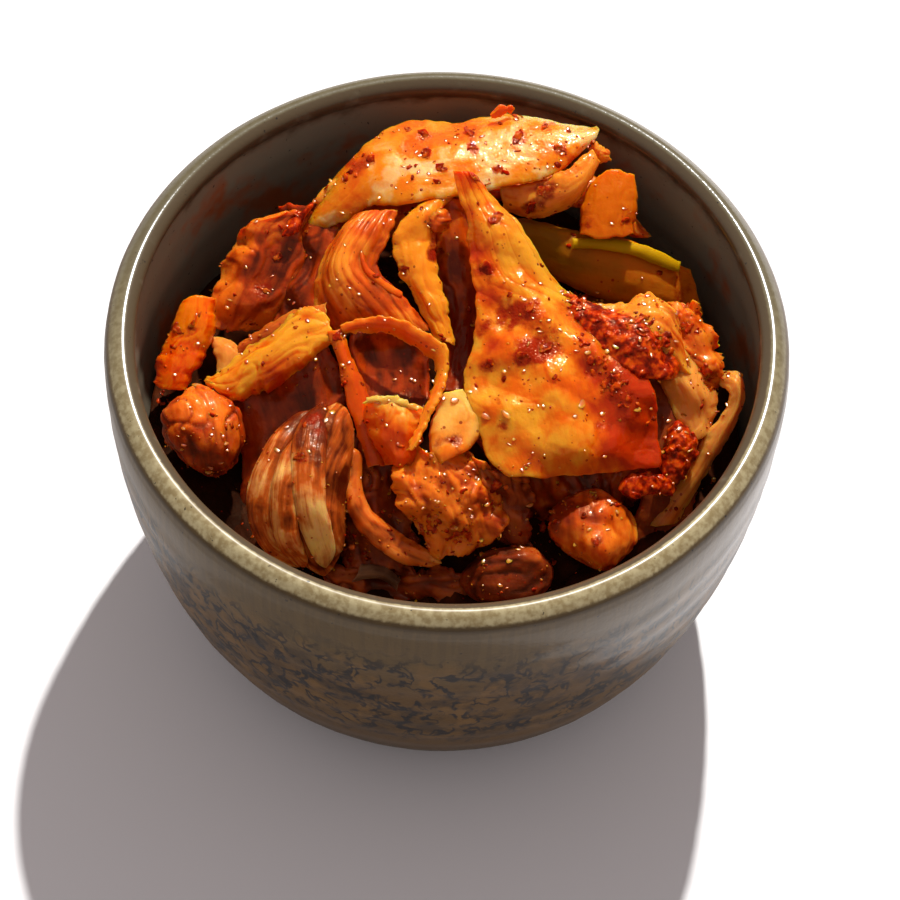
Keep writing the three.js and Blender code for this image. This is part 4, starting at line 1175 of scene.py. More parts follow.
        relief=Relief(wave=(0.5, 3.6), wrinkle=0.05, lump=0.1, crease=(0.1, 3), ragged=(0.3, 1.2)),
        pale=(0.95, 0.4), chips=0.5, seed=24, pales=[(0.8, -6.8, 2.4, 0.5)], stains=[(2, -13.5, 1.5, 0.7),
        (3.5, -17, 2, 0.4), (-1, -14, 1.5, 0.4)]),
    Piece("chunk_left", "pale_chunk", [(-8.5, -8.2, 61.2, 4.6, 0, 0.2, 1),
        (-8, -10.5, 60.2, 4.9, 0.1, 0.2, 2), (-7.6, -13.5, 58, 4, 0, 0.2, 2),
        (-6.8, -16, 55.6, 2.4, 0.2, 0.2, 1)], 4.5, 0.8, relief=Relief(wave=(0.6, 3), wrinkle=(0.12, 1),
        lump=0.2, crease=(0.3, 1.8, 5), ragged=(0.5, 1.2)), pale=(0.3, -0.5), chips=0.6, seed=25,
        pales=[(-8, -8.6, 2, 0.4)]),
    Piece("chunk_flap", "pale_chunk", [(-13, -7.9, 61.8, 0.1, 0.4, 0.2, 0.1),
        (-10.5, -8.1, 62.2, 0.2, 0.6, 0.4, 0.2), (-7, -8.6, 62.4, 0.2, 0.6, 0.4, 0.2),
        (-4, -9.3, 61.8, 0.2, 0.4, 0.1, 0.1)], 0.8, 0.7, relief=Relief(wave=(0.3, 2), wrinkle=0.1,
        ragged=(0.5, 0.8)), pale=(1.0, 0.7), chips=0.3, seed=43, stride=0.24),
    Piece("crumple_leaf", "red_leaf", [(-1.2, -14, 57.2, 5.4, 0, 0.2, 1),
        (0.7, -17.7, 55, 8.4, 0.6, 0, 2.5), (2.2, -21, 51.8, 8.8, 0.8, -0.2, 3),
        (3.4, -24.3, 48.2, 6.3, 0.7, -0.2, 2.5), (2.7, -27.3, 46, 2.4, 0.3, 0, 1)], 2,
        relief=Relief(wave=(1.5, 3.8), wrinkle=(0.14, 1, 5), lump=(0.25, 1.4), crease=(0.7, 2.5, 5),
        frill=(1.1, 2.4), ragged=(0.9, 1.3)), pale=(0.95, 0.75), edge_pale=-0.2, crease_pale=1.2, chips=1.8,
        seed=26, stride=0.24, pales=[(-7, -20.9, 2.4, 0.5), (8, -24, 2.5, -0.4), (-2, -17, 3, 0.4),
        (2, -27, 2, 0.4)], stains=[(0, -22, 2, 0.5), (5, -19, 2, 0.5), (3, -29, 3, 0.45)],
        chip_spots=[(3.2, -31.5, 5, 2)]),
    Piece("crumple_side", "dark_leaf", [(9.2, -15.8, 55.5, 3.6, -0.8, -0.5, 0.8),
        (11.4, -18.3, 52.2, 3.6, -0.3, -0.2, 1.5), (12, -21.3, 49, 2.8, -0.3, 0, 0.8),
        (13, -24, 45, 2.4, 0, 0, 0.8)], 2.4, relief=Relief(wave=(1.1, 3), wrinkle=0.14, lump=0.25,
        crease=(0.6, 2.4, 5), frill=0.8, ragged=0.8), pale=(0.55, 0.35), stain=0.2, chips=1.0, seed=27),
    Piece("hook_strip", "tan_stem", [(-14.5, -13, 55, 1.4, -0.1, 0, 0.8),
        (-14.3, -18.9, 52.2, 1.5, 0.3, -0.2, 1.2), (-12.5, -22.7, 49.8, 1.5, 1, 0.2, 1.4),
        (-8.2, -25.5, 47.5, 1.3, 1.5, 0.5, 1.4), (-3.8, -27.2, 46.2, 0.4, 1.6, 0.8, 1.2),
        (0.7, -27.9, 45, 0.2, 0.5, 0.2, 0.4)], 2.2, slot="stained_leaf", section=Section.ROUND,
        relief=Relief(wave=(0.4, 3), wrinkle=(0.18, 0.9), lump=0.1, crease=(0.4, 1.3, 6)), pale=(0.1, 0.5),
        chips=0.5, seed=28),
    Piece("left_strip", "golden_leaf", [(-39.5, -1.8, 55.6, -0.1, 0.5, 0.1, 0.2),
        (-35.6, -2, 56.8, -0.5, 2.5, 1.1, 0.6), (-29.3, 1.1, 59.5, -0.2, 4.3, 1.5, 1),
        (-23.3, 4.1, 62.6, -0.1, 4.3, 1.1, 0.8), (-19.3, 4.3, 63.8, -0.2, 2, 0.2, 0.3)], 2.4, 0.4,
        relief=Relief(wave=(0.5, 5), wrinkle=(0.14, 1), ribs=(0.08, 2.4), crease=(0.35, 2, 6),
        ragged=(0.6, 1.1)), pale=(0.5, 0.65), seed=29,
        apron=Apron(0.8, 1.2, (0.6, 1, 0.6), tone=-1.4, bulge=0.3), pales=[(-26, 7, 3.5, 0.4),
        (-33, 0, 3, 0.2), (-28, -2.5, 2.5, -0.5)], stains=[(-29.5, -3.5, 2.2, 0.35), (-24.5, 0, 2, 0.3)]),
    Piece("pink_flap", "tan_stem", [(-34.5, 3.6, 58.3, 0.1, 0.8, 0.3, 0.2),
        (-29.8, 5.2, 60.5, -0.1, 1.4, 0.6, 0.5), (-25.4, 7.2, 62.3, -0.1, 1.6, 0.6, 0.5),
        (-20.4, 8, 63.9, -0.2, 1, 0.4, 0.2)], 1, 0.7, slot="cabbage_leaf", relief=Relief(wave=(0.3, 3),
        ragged=0.4), pale=(0.3, 0.6), chips=0.6, seed=44),
    Piece("ribbed_leaf", "amber_leaf", [(-13.4, 24.7, 68.7, 3.8, 0.1, 0.8, 1.5),
        (-15.6, 20.3, 67.5, 4.8, 0, 1, 3.4), (-17.4, 15.5, 65.4, 5, 0, 1.2, 3.8),
        (-15.7, 11.4, 63.7, 6.9, 0.3, 1.4, 3.2), (-13, 8.3, 61.9, 8.1, 0.6, 1.1, 2),
        (-10.6, 6.8, 60.3, 7.4, 0, 1.3, 1)], 2.6, 0.4, slot="stained_leaf", relief=Relief(wave=0.4,
        wrinkle=(0.1, 0.9, 12), lump=0.06, ribs=(0.14, 7, 0.25), crease=(0.2, 1.8, 10)), rib_pale=0.1,
        chips=0.3, seed=30, pales=[(-10.5, 18, 3, -0.8), (-19.5, 21, 3, 0.25), (-9.5, 24, 3, -0.35)],
        stains=[(-10.5, 17.6, 2.6, 0.5)]),
    Piece("inner_lip", "orange_strip", [(-15.5, 18.9, 69, 0.3, -0.3, 0.1, 0.3),
        (-15, 16.3, 68.6, 0.4, -0.2, 0.1, 0.4), (-14.1, 14, 67.8, 0.4, 0.3, 0.1, 0.4),
        (-11.5, 12.2, 66.5, 0.4, 0.5, 0.1, 0.4), (-8, 11, 65, 0.2, 0.5, 0.1, 0.2)], 1.6,
        slot="stained_leaf", section=Section.ROUND, relief=Relief(wave=0.15, wrinkle=0.08, lump=0.06,
        ragged=0.1), pale=(0.3, 0.55), chips=0.3, seed=45, stride=0.24),
    Piece("centre_strip", "orange_strip", [(-3.4, 27.5, 70, 3.4, 1.6, 0.5, 0.8),
        (-5.6, 23.5, 70.2, 3.3, 1.2, 0.4, 1.2), (-6.3, 19.5, 67.8, 3.5, 0.3, 0.2, 1.6),
        (-5.2, 14, 66, 3.3, -0.4, 0, 1.2), (-3.1, 10.2, 64.1, 2.8, -0.9, -0.1, 0.8),
        (-0.5, 4.7, 61.2, 1.8, -0.4, -0.2, 0.4)], 2.4, relief=Relief(wave=(0.6, 4), wrinkle=(0.12, 1.1, 6),
        lump=0.16, ribs=(0.06, 2.4), crease=(0.35, 2.2, 5), ragged=0.5), pale=(0.85, 0.95), chips=0.5,
        seed=31, pales=[(-8.3, 28.5, 3, 0.5), (-6.5, 21, 2.5, 0.3), (-1.5, 29, 3.5, -0.7)],
        stains=[(-8, 19.9, 1.3, 0.6), (-2.6, 24.1, 2.2, 0.8)]),
    Piece("left_knob", "red_leaf", [(-41.4, -3.3, 57, 1.8, 1.5, 0, 1.5),
        (-40.6, -6.2, 55.6, 5.3, 1.2, 0.2, 4), (-39.3, -9.5, 53.2, 6.5, 1.1, 0.2, 4.8),
        (-38, -13, 49.9, 4.6, 0.4, 0.1, 4), (-37, -15.2, 46.5, 1.1, 0.1, 0, 1.5)], 7, section=Section.ROUND,
        relief=Relief(wave=(0.8, 4.2), wrinkle=(0.14, 1.2, 5), lump=(0.2, 2), crease=(0.8, 2.1, 7)),
        pale=(0.6, 0.25), chips=1.2, seed=32, pales=[(-40, -9, 3, 0.25)], stains=[(-45, -9, 3, 0.3)]),
    Piece("carrot_stick", "carrot", [(-41.7, 11.8, 59.8, 2.6, 0.4, -0.2, 0.3),
        (-42.5, 7.4, 57.8, 3.5, 0, -0.2, 0.4), (-44.2, 3.2, 55.2, 3.6, -0.1, -0.3, 0.4),
        (-46, -0.7, 52.2, 2.7, -0.4, -0.3, 0.3)], 5, 1, relief=Relief(wave=0.4, wrinkle=(0.12, 0.8),
        lump=(0.16, 1.1), crease=0.3, ragged=0.4, end_bow=0.6), pale=(0.7, 0.5), seed=33,
        pales=[(-48.5, -3, 2.5, -0.6)], stains=[(-45.2, 5.4, 1.5, 0.5), (-42.5, 6, 1.4, 0.5),
        (-47, -6, 2.5, 0.4)], chip_spots=[(-45, 6, 2.5, 4)]),
    Piece("rolled_stem", "rolled_stem", [(-17.6, -5.8, 57.8, 2, 0.5, 0, 1.3),
        (-19.2, -10.8, 56.8, 4.6, -0.3, 0.2, 3.6), (-21.5, -16.6, 53.6, 6.8, -0.3, 0.5, 5.0),
        (-22.2, -21.9, 49.6, 7, 0.2, 0.5, 5.4), (-21, -25.5, 46.4, 5.8, 0, 0.5, 4.6),
        (-18.3, -29.6, 41.9, 1.8, 0.1, 0.1, 1.5)], 6, section=Section.ROUND, relief=Relief(wave=(0.8, 4),
        wrinkle=(0.1, 1.1, 12), lump=0.12, crease=(0.3, 2.4, 9)), pale=(0.12, 0.2), chips=0.5, seed=34,
        stride=0.3, pales=[(-18, -12, 4, 0.2), (-15, -22, 4, -0.3)], stains=[(-20, -8, 4, 0.2),
        (-16.5, -20, 4, 0.2)]),
    Piece("roll_fold_left", "rolled_stem", [(-21.9, -8.5, 58.3, 0.9, -0.5, 0.1, 0.3),
        (-25.2, -12, 58.4, 1.4, -0.6, 0.3, 0.7), (-27.5, -17.5, 57.1, 2, -1.1, 0.6, 1),
        (-28.8, -21.4, 55.4, 2.2, -1, 1, 1.2), (-28.9, -24.5, 53, 2.2, -0.9, 1.1, 1.2),
        (-28, -27.1, 50, 1.9, -0.6, 1.1, 1), (-25.9, -28.5, 46.8, 1.2, 0.2, 0.8, 0.8),
        (-22.1, -29.7, 44.1, 0.6, 0.3, 0.5, 0.3)], 2.6, section=Section.ROUND, relief=Relief(wave=(0.35, 4),
        wrinkle=(0.12, 0.9, 12), lump=0.08, crease=(0.14, 1.4, 9)), pale=(0.35, 0.45), chips=0.3, seed=49,
        stride=0.26, pales=[(-30, -21, 3.5, 0.35), (-23, -9, 5, -0.6), (-29, -32, 3, -0.2)],
        stains=[(-24, -12, 3, 0.2)]),
    Piece("roll_fold_mid", "rolled_stem", [(-22.1, -12.6, 59, 0.7, -0.2, 0.1, 0.3),
        (-24.4, -17.2, 58.9, 1.3, -0.3, 0.2, 0.7), (-25.2, -21.8, 58, 1.8, -0.5, 0.6, 0.9),
        (-25.2, -25.3, 55.8, 2, -0.6, 1, 1), (-24.6, -28.2, 52.8, 1.9, -0.5, 1, 1),
        (-23.4, -29.8, 49.5, 1.5, 0, 0.9, 0.7), (-21.3, -30.2, 45.3, 0.7, 0.2, 0.5, 0.3)], 2.6,
        section=Section.ROUND, relief=Relief(wave=(0.3, 4), wrinkle=(0.12, 0.8, 12), lump=0.08,
        crease=(0.16, 1.3, 9)), pale=(0.3, 0.45), chips=0.3, seed=50, stride=0.26,
        pales=[(-25, -22, 3, 0.15), (-23, -13, 4, -0.4)], stains=[(-24, -15, 2, 0.25),
        (-25, -27, 2, 0.25)]),
    Piece("roll_fold_right", "rolled_stem", [(-19.9, -7, 59, 1, 0.3, 0, 0.4),
        (-21.1, -12.1, 59.5, 2.5, -0.1, 0, 0.9), (-21.5, -17.1, 59.5, 2.9, 0, 0, 1.2),
        (-21.3, -21.7, 58.4, 2.8, 0, 0, 1.5), (-20.7, -25.3, 56.5, 2.6, 0.1, 0, 1.6),
        (-19.7, -27.4, 53.3, 2.5, 0.4, -0.1, 1.5), (-18.6, -28.5, 48.8, 2, 0.6, -0.2, 1.2),
        (-17.9, -30, 45, 1, 0.4, 0, 0.5)], 3, section=Section.ROUND, relief=Relief(wave=(0.4, 4),
        wrinkle=(0.1, 1, 12), lump=0.12, crease=(0.14, 2, 9)), pale=(0.2, 0.65), seed=51, stride=0.26,
        pales=[(-20, -28, 2.6, 0.5), (-18.5, -34, 3.5, 0.5), (-20, -12, 5, -0.5)],
        stains=[(-22.9, -18.5, 1.2, 0.8), (-20, -12, 4, 0.4), (-18.6, -20, 1.5, 0.3)]),
    Piece("back_left_leaf", "red_leaf", [(-35.4, 11.9, 51.5, 4.2, 0.2, -0.5, 0.8),
        (-33.2, 15.2, 53.8, 6.7, -1.3, -0.7, 2), (-30.3, 19.8, 57.2, 7.9, -2, -0.8, 2.6),
        (-28, 26, 61.4, 6.5, -0.7, -0.4, 2), (-25.8, 28, 64, 3, 0.1, 0, 0.5)], 2.6,
        relief=Relief(wave=(1.1, 5), wrinkle=(0.12, 1.2), lump=0.12, ribs=(0.08, 3.4, 0.7),
        crease=(0.35, 3.2, 9), frill=0.8, ragged=0.7), pale=(0.45, 0.5), edge_pale=0.4, chips=0.8, seed=35,
        pales=[(-27, 22, 5, -0.4)], stains=[(-29.6, 21.4, 2, 0.6), (-31.2, 14.2, 2.4, 0.6)]),
    Piece("pale_bit", "tan_stem", [(-38, 8.3, 54, 1.6, -0.1, 0, 0.3),
        (-36.6, 5.6, 53.5, 2.3, 0.3, 0, 0.5), (-36.7, 2.9, 52.7, 1.5, 0.6, 0.3, 0.3)], 2, 0.7,
        relief=Relief(wave=(0.4, 2.4), lump=0.2, ragged=0.5), pale=(0.9, 0.9), chips=0.5, seed=36),
    # its low tone, which falls further towards its far end, is painted shade in the hollow inside the loop
    Piece("loop_cup", "red_leaf", [(-10.2, 5.6, 62.2, 6.1, 0.4, -0.2, -1),
        (-9.4, 3.2, 60, 6.6, 0.7, 0, -2.5), (-8.8, 0.4, 57.7, 6.1, 0.6, 0.3, -2),
        (-8.4, -4, 56, 5.6, 0.6, 0.3, -1.4), (-8, -9, 55.4, 5, 0.6, 0.3, -1)], 1.6, 0.7,
        relief=Relief(wave=(0.7, 4.5), wrinkle=0.08, crease=(0.2, 3, 6)), pale=(0.2, -0.1), chips=0.6,
        seed=37),
    # its tone falls to the deepest towards its lower end: painted shade where it sinks behind the front leaf
    Piece("dark_leaf", "amber_leaf", [(-1, 28.7, 68.5, 3.3, 0.2, 0, 0.8),
        (0.9, 22, 63.7, 4.4, 0.5, -0.2, 1), (2.4, 15.3, 58.7, 4, 0.4, -0.2, 1),
        (2.2, 7.6, 54.6, 3.4, 0.3, -0.2, 0.6), (2.4, 0, 54, 3.4, 0.3, -0.2, 0.6)], 2.4, slot="stained_leaf",
        relief=Relief(wave=0.7, wrinkle=(0.12, 1.2, 10), crease=(0.3, 2.2, 9)), pale=(0.35, -0.5), seed=38),
    Piece("onion_slip", "onion", [(-13, -29, 42, 0.6, 1.2, 1, 0.4),
        (-9, -28.7, 42.2, 0.4, 0.7, 0.8, 0.6), (-6, -30, 40.9, 0.3, 0.8, 0.6, 0.3)], 1.4, 0.7,
        relief=Relief(wave=0.3, wrinkle=0.08, lump=0.08, ragged=0.2), pale=(0.7, 0.5), chips=0.2, seed=39),
    Piece("rear_leaf_left", "amber_leaf", [(-21, 33, 65, -3, -4, 0, 1), (-13, 39, 66, -3, -5, 2, 2),
        (-2, 42, 66, 0, -5, 3, 2), (6, 43, 65, 1, -4, 3, 1)], 3, relief=REAR_RELIEF, chips=1.0, seed=40),
    Piece("rear_leaf_right", "amber_leaf", [(3, 40, 57, 1, -5, 3, 1), (13, 40, 60, 2, -5, 3, 2),
        (23, 38, 61, 3, -4, 2, 1.6), (31, 34, 58, 3, -3, 1, 0.8)], 3, relief=REAR_RELIEF,
        pale=(0.45, 0.55), chips=1.0, seed=41),
]

CRUMPLED = Relief(
    wave=(1.6, 5), wrinkle=(0.14, 1.2, 6), lump=0.2, crease=(0.8, 2.8, 6), frill=0.8, ragged=1.1,
)
LINK_RELIEF = Relief(wave=(1, 5), wrinkle=0.12, crease=(0.3, 3, 8), ragged=0.6)
# the leaves that lie on the bed; several are filler sheets in the shaded gaps between the pieces, whose dark
# finishes and low tones are partly sauce-soaked leaf and partly painted shade
BED_LEAVES = [
    Piece("under_stem_leaf", "amber_leaf", [(-19, 28, 62, 0.4, 3, 1.4, 0.4),
        (-12, 29, 63.4, 0.2, 3.4, 1.8, 0.8), (-4, 29.5, 64.2, 0, 3.6, 2, 0.8),
        (4, 30, 64.6, -0.2, 3.2, 1.8, 0.5)], 2, relief=Relief(wave=(0.8, 4), wrinkle=0.12,
        crease=(0.3, 3, 6), frill=0.6), pale=(0.4, 0.6), chips=1.0, seed=110),
    Piece("under_strip_leaf", "red_leaf", [(-29, 2.4, 53.5, 8, 4.7, 3.5, 0.6),
        (-26.4, -1.3, 51.5, 8.3, 4.5, 3.5, 1), (-24.8, -5.9, 48.8, 8.4, 4.1, 3.2, 1.2),
        (-25.2, -12.2, 44.3, 8.2, 4, 3.7, 1), (-27, -20, 41, 7, 2, 2, 1)], 2, relief=Relief(wave=1,
        wrinkle=(0.25, 2), lump=0.15, ragged=0.5), pale=(0.35, 0.2), chips=0.5, seed=101),
    Piece("middle_leaf", "dark_leaf", [(-12.4, -8.6, 53.8, 5.6, -0.3, 0.8, 0.6),
        (-11.5, -13.8, 50, 6.1, -0.2, 1, 1.2), (-10.6, -20.6, 45.5, 6.2, -0.2, 1, 1.2),
        (-8.8, -27.1, 41, 6.2, 0.4, 1, 0.6)], 2, relief=CRUMPLED, pale=(0.6, 0.3), chips=1.6, seed=102),
    Piece("front_left_scrap", "dark_leaf", [(-17.8, -29.3, 38.5, 1.4, -1.6, -2, 0.4),
        (-9.3, -29, 39, 1.2, -2.4, -2, 0.8), (-1.1, -29.3, 40, 0.8, -1.8, -2, 0.8),
        (6.2, -29.2, 39, 0.5, -1.6, -2, 0.4)], 2, relief=CRUMPLED, pale=(0.3, 0.4), chips=0.5, seed=103),
    Piece("leaf_underside", "red_leaf", [(19.9, -9.6, 53.5, 14.2, -0.2, -0.5, 0.6),
        (21.2, -11.6, 50, 12.8, 0.9, 0, 1.4), (22.3, -14.5, 46, 10.7, 1.1, 0, 1.4),
        (23.4, -16.9, 41, 8.1, 1.1, 0, 0.6)], 2, relief=CRUMPLED, pale=(0.4, 0.2), chips=1.0, seed=104),
    Piece("right_brown_leaf", "dark_leaf", [(36.2, 5.5, 57.2, 4.4, 0.2, 0, 0.4),
        (37.2, -0.5, 56, 5.2, 0.3, -0.1, 1), (38, -7.1, 52.8, 5.5, 0.5, -0.2, 1),
        (38.1, -12.2, 47.3, 4.8, 0.9, -0.3, 1), (36.1, -17.8, 42, 4.6, 0.8, 0, 0.8),
        (32.1, -23.3, 38, 3.3, 0.7, 0, 0.5)], 2, relief=Relief(wave=(0.7, 5), wrinkle=0.2),
        pale=(0.7, 0.5), chips=0.6, seed=105),
    Piece("back_link_leaf", "red_leaf", [(-23.6, 29.9, 63.5, 6.1, -0.7, 1.5, 0.6),
        (-23.9, 23.4, 60.2, 5.4, -1.5, 1.8, 1.2), (-25.1, 16.9, 57.2, 5, -1.7, 1.8, 1.2),
        (-25.4, 10.6, 54, 5, -1.1, 2, 0.6)], 2, relief=LINK_RELIEF, pale=(0.1, 0.1), chips=0.8, seed=106),
    Piece("behind_leaf", "dark_leaf", [(-2.2, 27.3, 65.5, 4.6, 0.3, 0.5, 0.5),
        (0.3, 21.1, 60.5, 4.4, 0.3, 0, 1.2), (1.8, 13.8, 56, 4, 0.2, 0, 1),
        (2.7, 5.6, 51.5, 3.4, -0.3, 0, 0.6)], 2, relief=Relief(wave=0.8), pale=(0.6, 0.3), chips=0.3,
        seed=107),
    Piece("right_back_leaf", "sauced_bed", [(24.9, 20.3, 55, 6.7, -0.9, 0.5, 0.5),
        (28.1, 14.7, 55.5, 7.2, -0.1, 0.7, 1), (30.3, 9.2, 56.1, 7.4, 0, 0.5, 1), (33, 2, 54, 7, 0, 0, 1)],
        2, relief=LINK_RELIEF, pale=(0.9, 0.9), chips=1.0, seed=108),
    # the darkest tone of the bed's finish: painted shade for the shaded gap at the front left
    Piece("low_left_leaf", "sauced_bed", [(-44, 4, 45, 4, 2, 0, 0.6), (-42, -4, 44, 6, 2, 0, 1),
        (-39, -14, 42, 7, 3, 0, 1), (-33, -24, 40, 6, 4, 0, 0.6)], 2, relief=Relief(wave=1.2, wrinkle=0.1),
        pale=(0.0, 0.0), chips=0.1, seed=109),
]

PASTE_RELIEF = Relief(wave=(0.5, 4), lump=(0.4, 2.4))
# the clumps of paste: name, thickness and stations
PASTE_BODIES = [
    ("paste_patch", 2.2, [(19.5, 11, 66.2, 0.8, 1.2, 0, 0.7), (22.5, 8.5, 66.2, 1, 2.2, 0, 0.9),
        (26.5, 5, 66.2, 0.8, 3.6, 0.8, 1.1), (31, 2.6, 65.6, 0.4, 4.2, 1.2, 1.2),
        (35.2, 1.8, 63.9, 0, 3.4, 1.2, 1.0), (38, 1, 62.2, 0, 1.8, 0.8, 0.6)]),
    ("paste_right", 3, [(38, -5, 55.8, 1.2, 0.5, 0, 0.8), (39, -8.5, 54.2, 2.6, 0.9, 0, 1.6),
        (38.5, -12, 51.6, 2.2, 0.6, 0, 1.4), (37, -14.5, 49.8, 1, 0.2, 0, 0.6)]),
    ("paste_low", 2.6, [(29, -16.5, 53, -0.3, 0.9, 0.4, 0.6), (32, -16, 53, -0.2, 1.6, 0.7, 1.1),
        (36, -14.8, 52, 0, 1.3, 0.7, 1.0), (38.5, -14.8, 50, 0, 0.7, 0.4, 0.5)]),
    ("paste_back", 2.6, [(-28, 23.5, 62.5, 0.7, 0.2, 0, 0.7), (-26.8, 25.2, 63.9, 1.3, 0.4, 0, 1.0),
        (-25.4, 26.8, 65, 1.1, 0.4, 0.2, 0.8), (-23.9, 28.3, 66, 0.6, 0.3, 0.2, 0.5)]),
]
PASTES = [
    Piece(name, "paste", stations, thick, section=Section.ROUND, relief=PASTE_RELIEF, seed=61 + k, stride=0.5)
    for k, (name, thick, stations) in enumerate(PASTE_BODIES)
]
# thin smears of paste on the leaves: place on the drop line, and how far each reaches
SMEARS = [
    (20.7, 15.7, 2.2), (23.5, 12.5, 1.8), (27.7, -1, 2.6), (24.5, 3, 2.2), (30, -4.5, 1.8), (22, 7.5, 1.6),
    (31.5, 11.3, 2.4), (40, 10.9, 1.8), (42.5, 2.5, 1.8), (35, 8.5, 2.4), (3.2, -31.5, 2.2), (-1, -30, 1.8),
    (-14.4, -33, 1.4), (17.5, -29, 1.6), (28.2, -24, 1), (-17.5, 40.5, 1.4), (38, -13, 2), (-46, -8.5, 1.3),
    (-18.5, 5.5, 1), (9, -22, 1.6),
]
# the largest beads of brine on the drop line: place, and half length
WET_SPOTS = [
    (6.9, -8.6, 0.9), (10, -8, 1.1), (22.2, -5.2, 1), (15.2, -6, 0.5), (26.4, 5.7, 0.7), (23.1, 5.1, 0.6),
    (27.7, 6.6, 0.6), (31.3, -5.7, 0.7), (11.5, -12.7, 0.5), (5.8, -21, 0.6), (39.3, -9.7, 0.5),
    (35.2, -0.3, 0.5), (-18.2, -9.5, 0.6), (-9.4, -21.4, 0.6), (-8.3, -24.4, 0.5), (2.8, -30, 0.6),
    (6.9, -32, 0.7), (4.2, -31.6, 0.5), (14.3, -25.1, 0.7), (-40.7, -5.5, 0.7), (-37.2, -22.1, 0.6),
    (-41.8, -18, 0.5), (11.5, -35.7, 0.7), (-35, -16.6, 0.6), (-16.8, 15.6, 0.5), (-20.1, 16, 0.5),
    (-33.5, 28.5, 0.5), (-39.7, 13.6, 0.6), (-36.5, 11.9, 0.6), (-47.2, 4.1, 0.5), (-8.3, 17.2, 0.6),
    (-2.3, 3.9, 0.5), (1.6, -5.8, 0.8), (4, -4, 0.5), (12.4, 15.1, 0.5), (18.4, 9.4, 0.6), (25, 11.9, 0.6),
    (31.7, 8.3, 0.6), (35, 10.5, 0.5), (25.8, -36.4, 0.5), (24.1, -29.2, 0.6), (21.8, -32.1, 0.5),
]
# single flakes on the drop line: place, and half length
BIG_FLAKES = [
    (-8.9, 50.1, 0.8), (-6.2, 49, 1.3), (2, 50.2, 1.3), (-5.7, 44.8, 1.2), (2.4, 46.7, 1),
    (-2.6, 42.1, 1.1), (-3.3, 39, 0.8), (3, 40.6, 1.2), (9.7, 54.1, 0.7), (10.4, 49.2, 1.5),
    (15, 52.3, 1.1), (17.6, 47.3, 1.4), (18.6, 54.8, 1.1), (6.8, 42.8, 1), (8.3, 41.4, 0.9),
    (20.1, 44.9, 0.9), (8.4, 57.4, 1.5), (-17.1, 40.2, 1.1), (-14.9, 43, 1.1), (-19, 38.5, 1),
    (15.2, 38.4, 1.4), (12.9, 34.3, 1.3), (7.1, 31.8, 1.6), (5.6, 20.7, 1.7), (13.2, 13.7, 1),
    (16.3, 6.2, 1.8), (12.4, 3.5, 1.2), (6.9, 1.5, 1.1), (28.9, 32.7, 0.9), (-2.6, 24.1, 1.5),
    (-8, 19.9, 1.1), (-22.9, -18.5, 1), (25.1, -31.3, 1.1), (43.3, 1.6, 1.2), (2, -13.4, 1.1),
    (-29.6, 21.4, 1.2), (-31.2, 14.2, 1.2), (-44.5, 5.6, 1.1), (-42.2, 6.4, 0.9), (21, 17, 1.2),
    (23, 15, 1),
]


# ---- what is strewn over the heap
BODY_TAKES = [
    ("Tilt", NUMBER, 0.4), ("Detail", "NodeSocketInt", 2), ("Crumple", NUMBER, 0.0),
    ("Crumple size", NUMBER, 0.001), ("Seed", "NodeSocketInt", 1), ("Finish", "NodeSocketMaterial"),
]  # the inputs that all three trees have
STRAIGHT_UP = (0.08, 0.0, 1.0)  # where the top of a level bead looks
GEOMETRY = "NodeSocketGeometry"


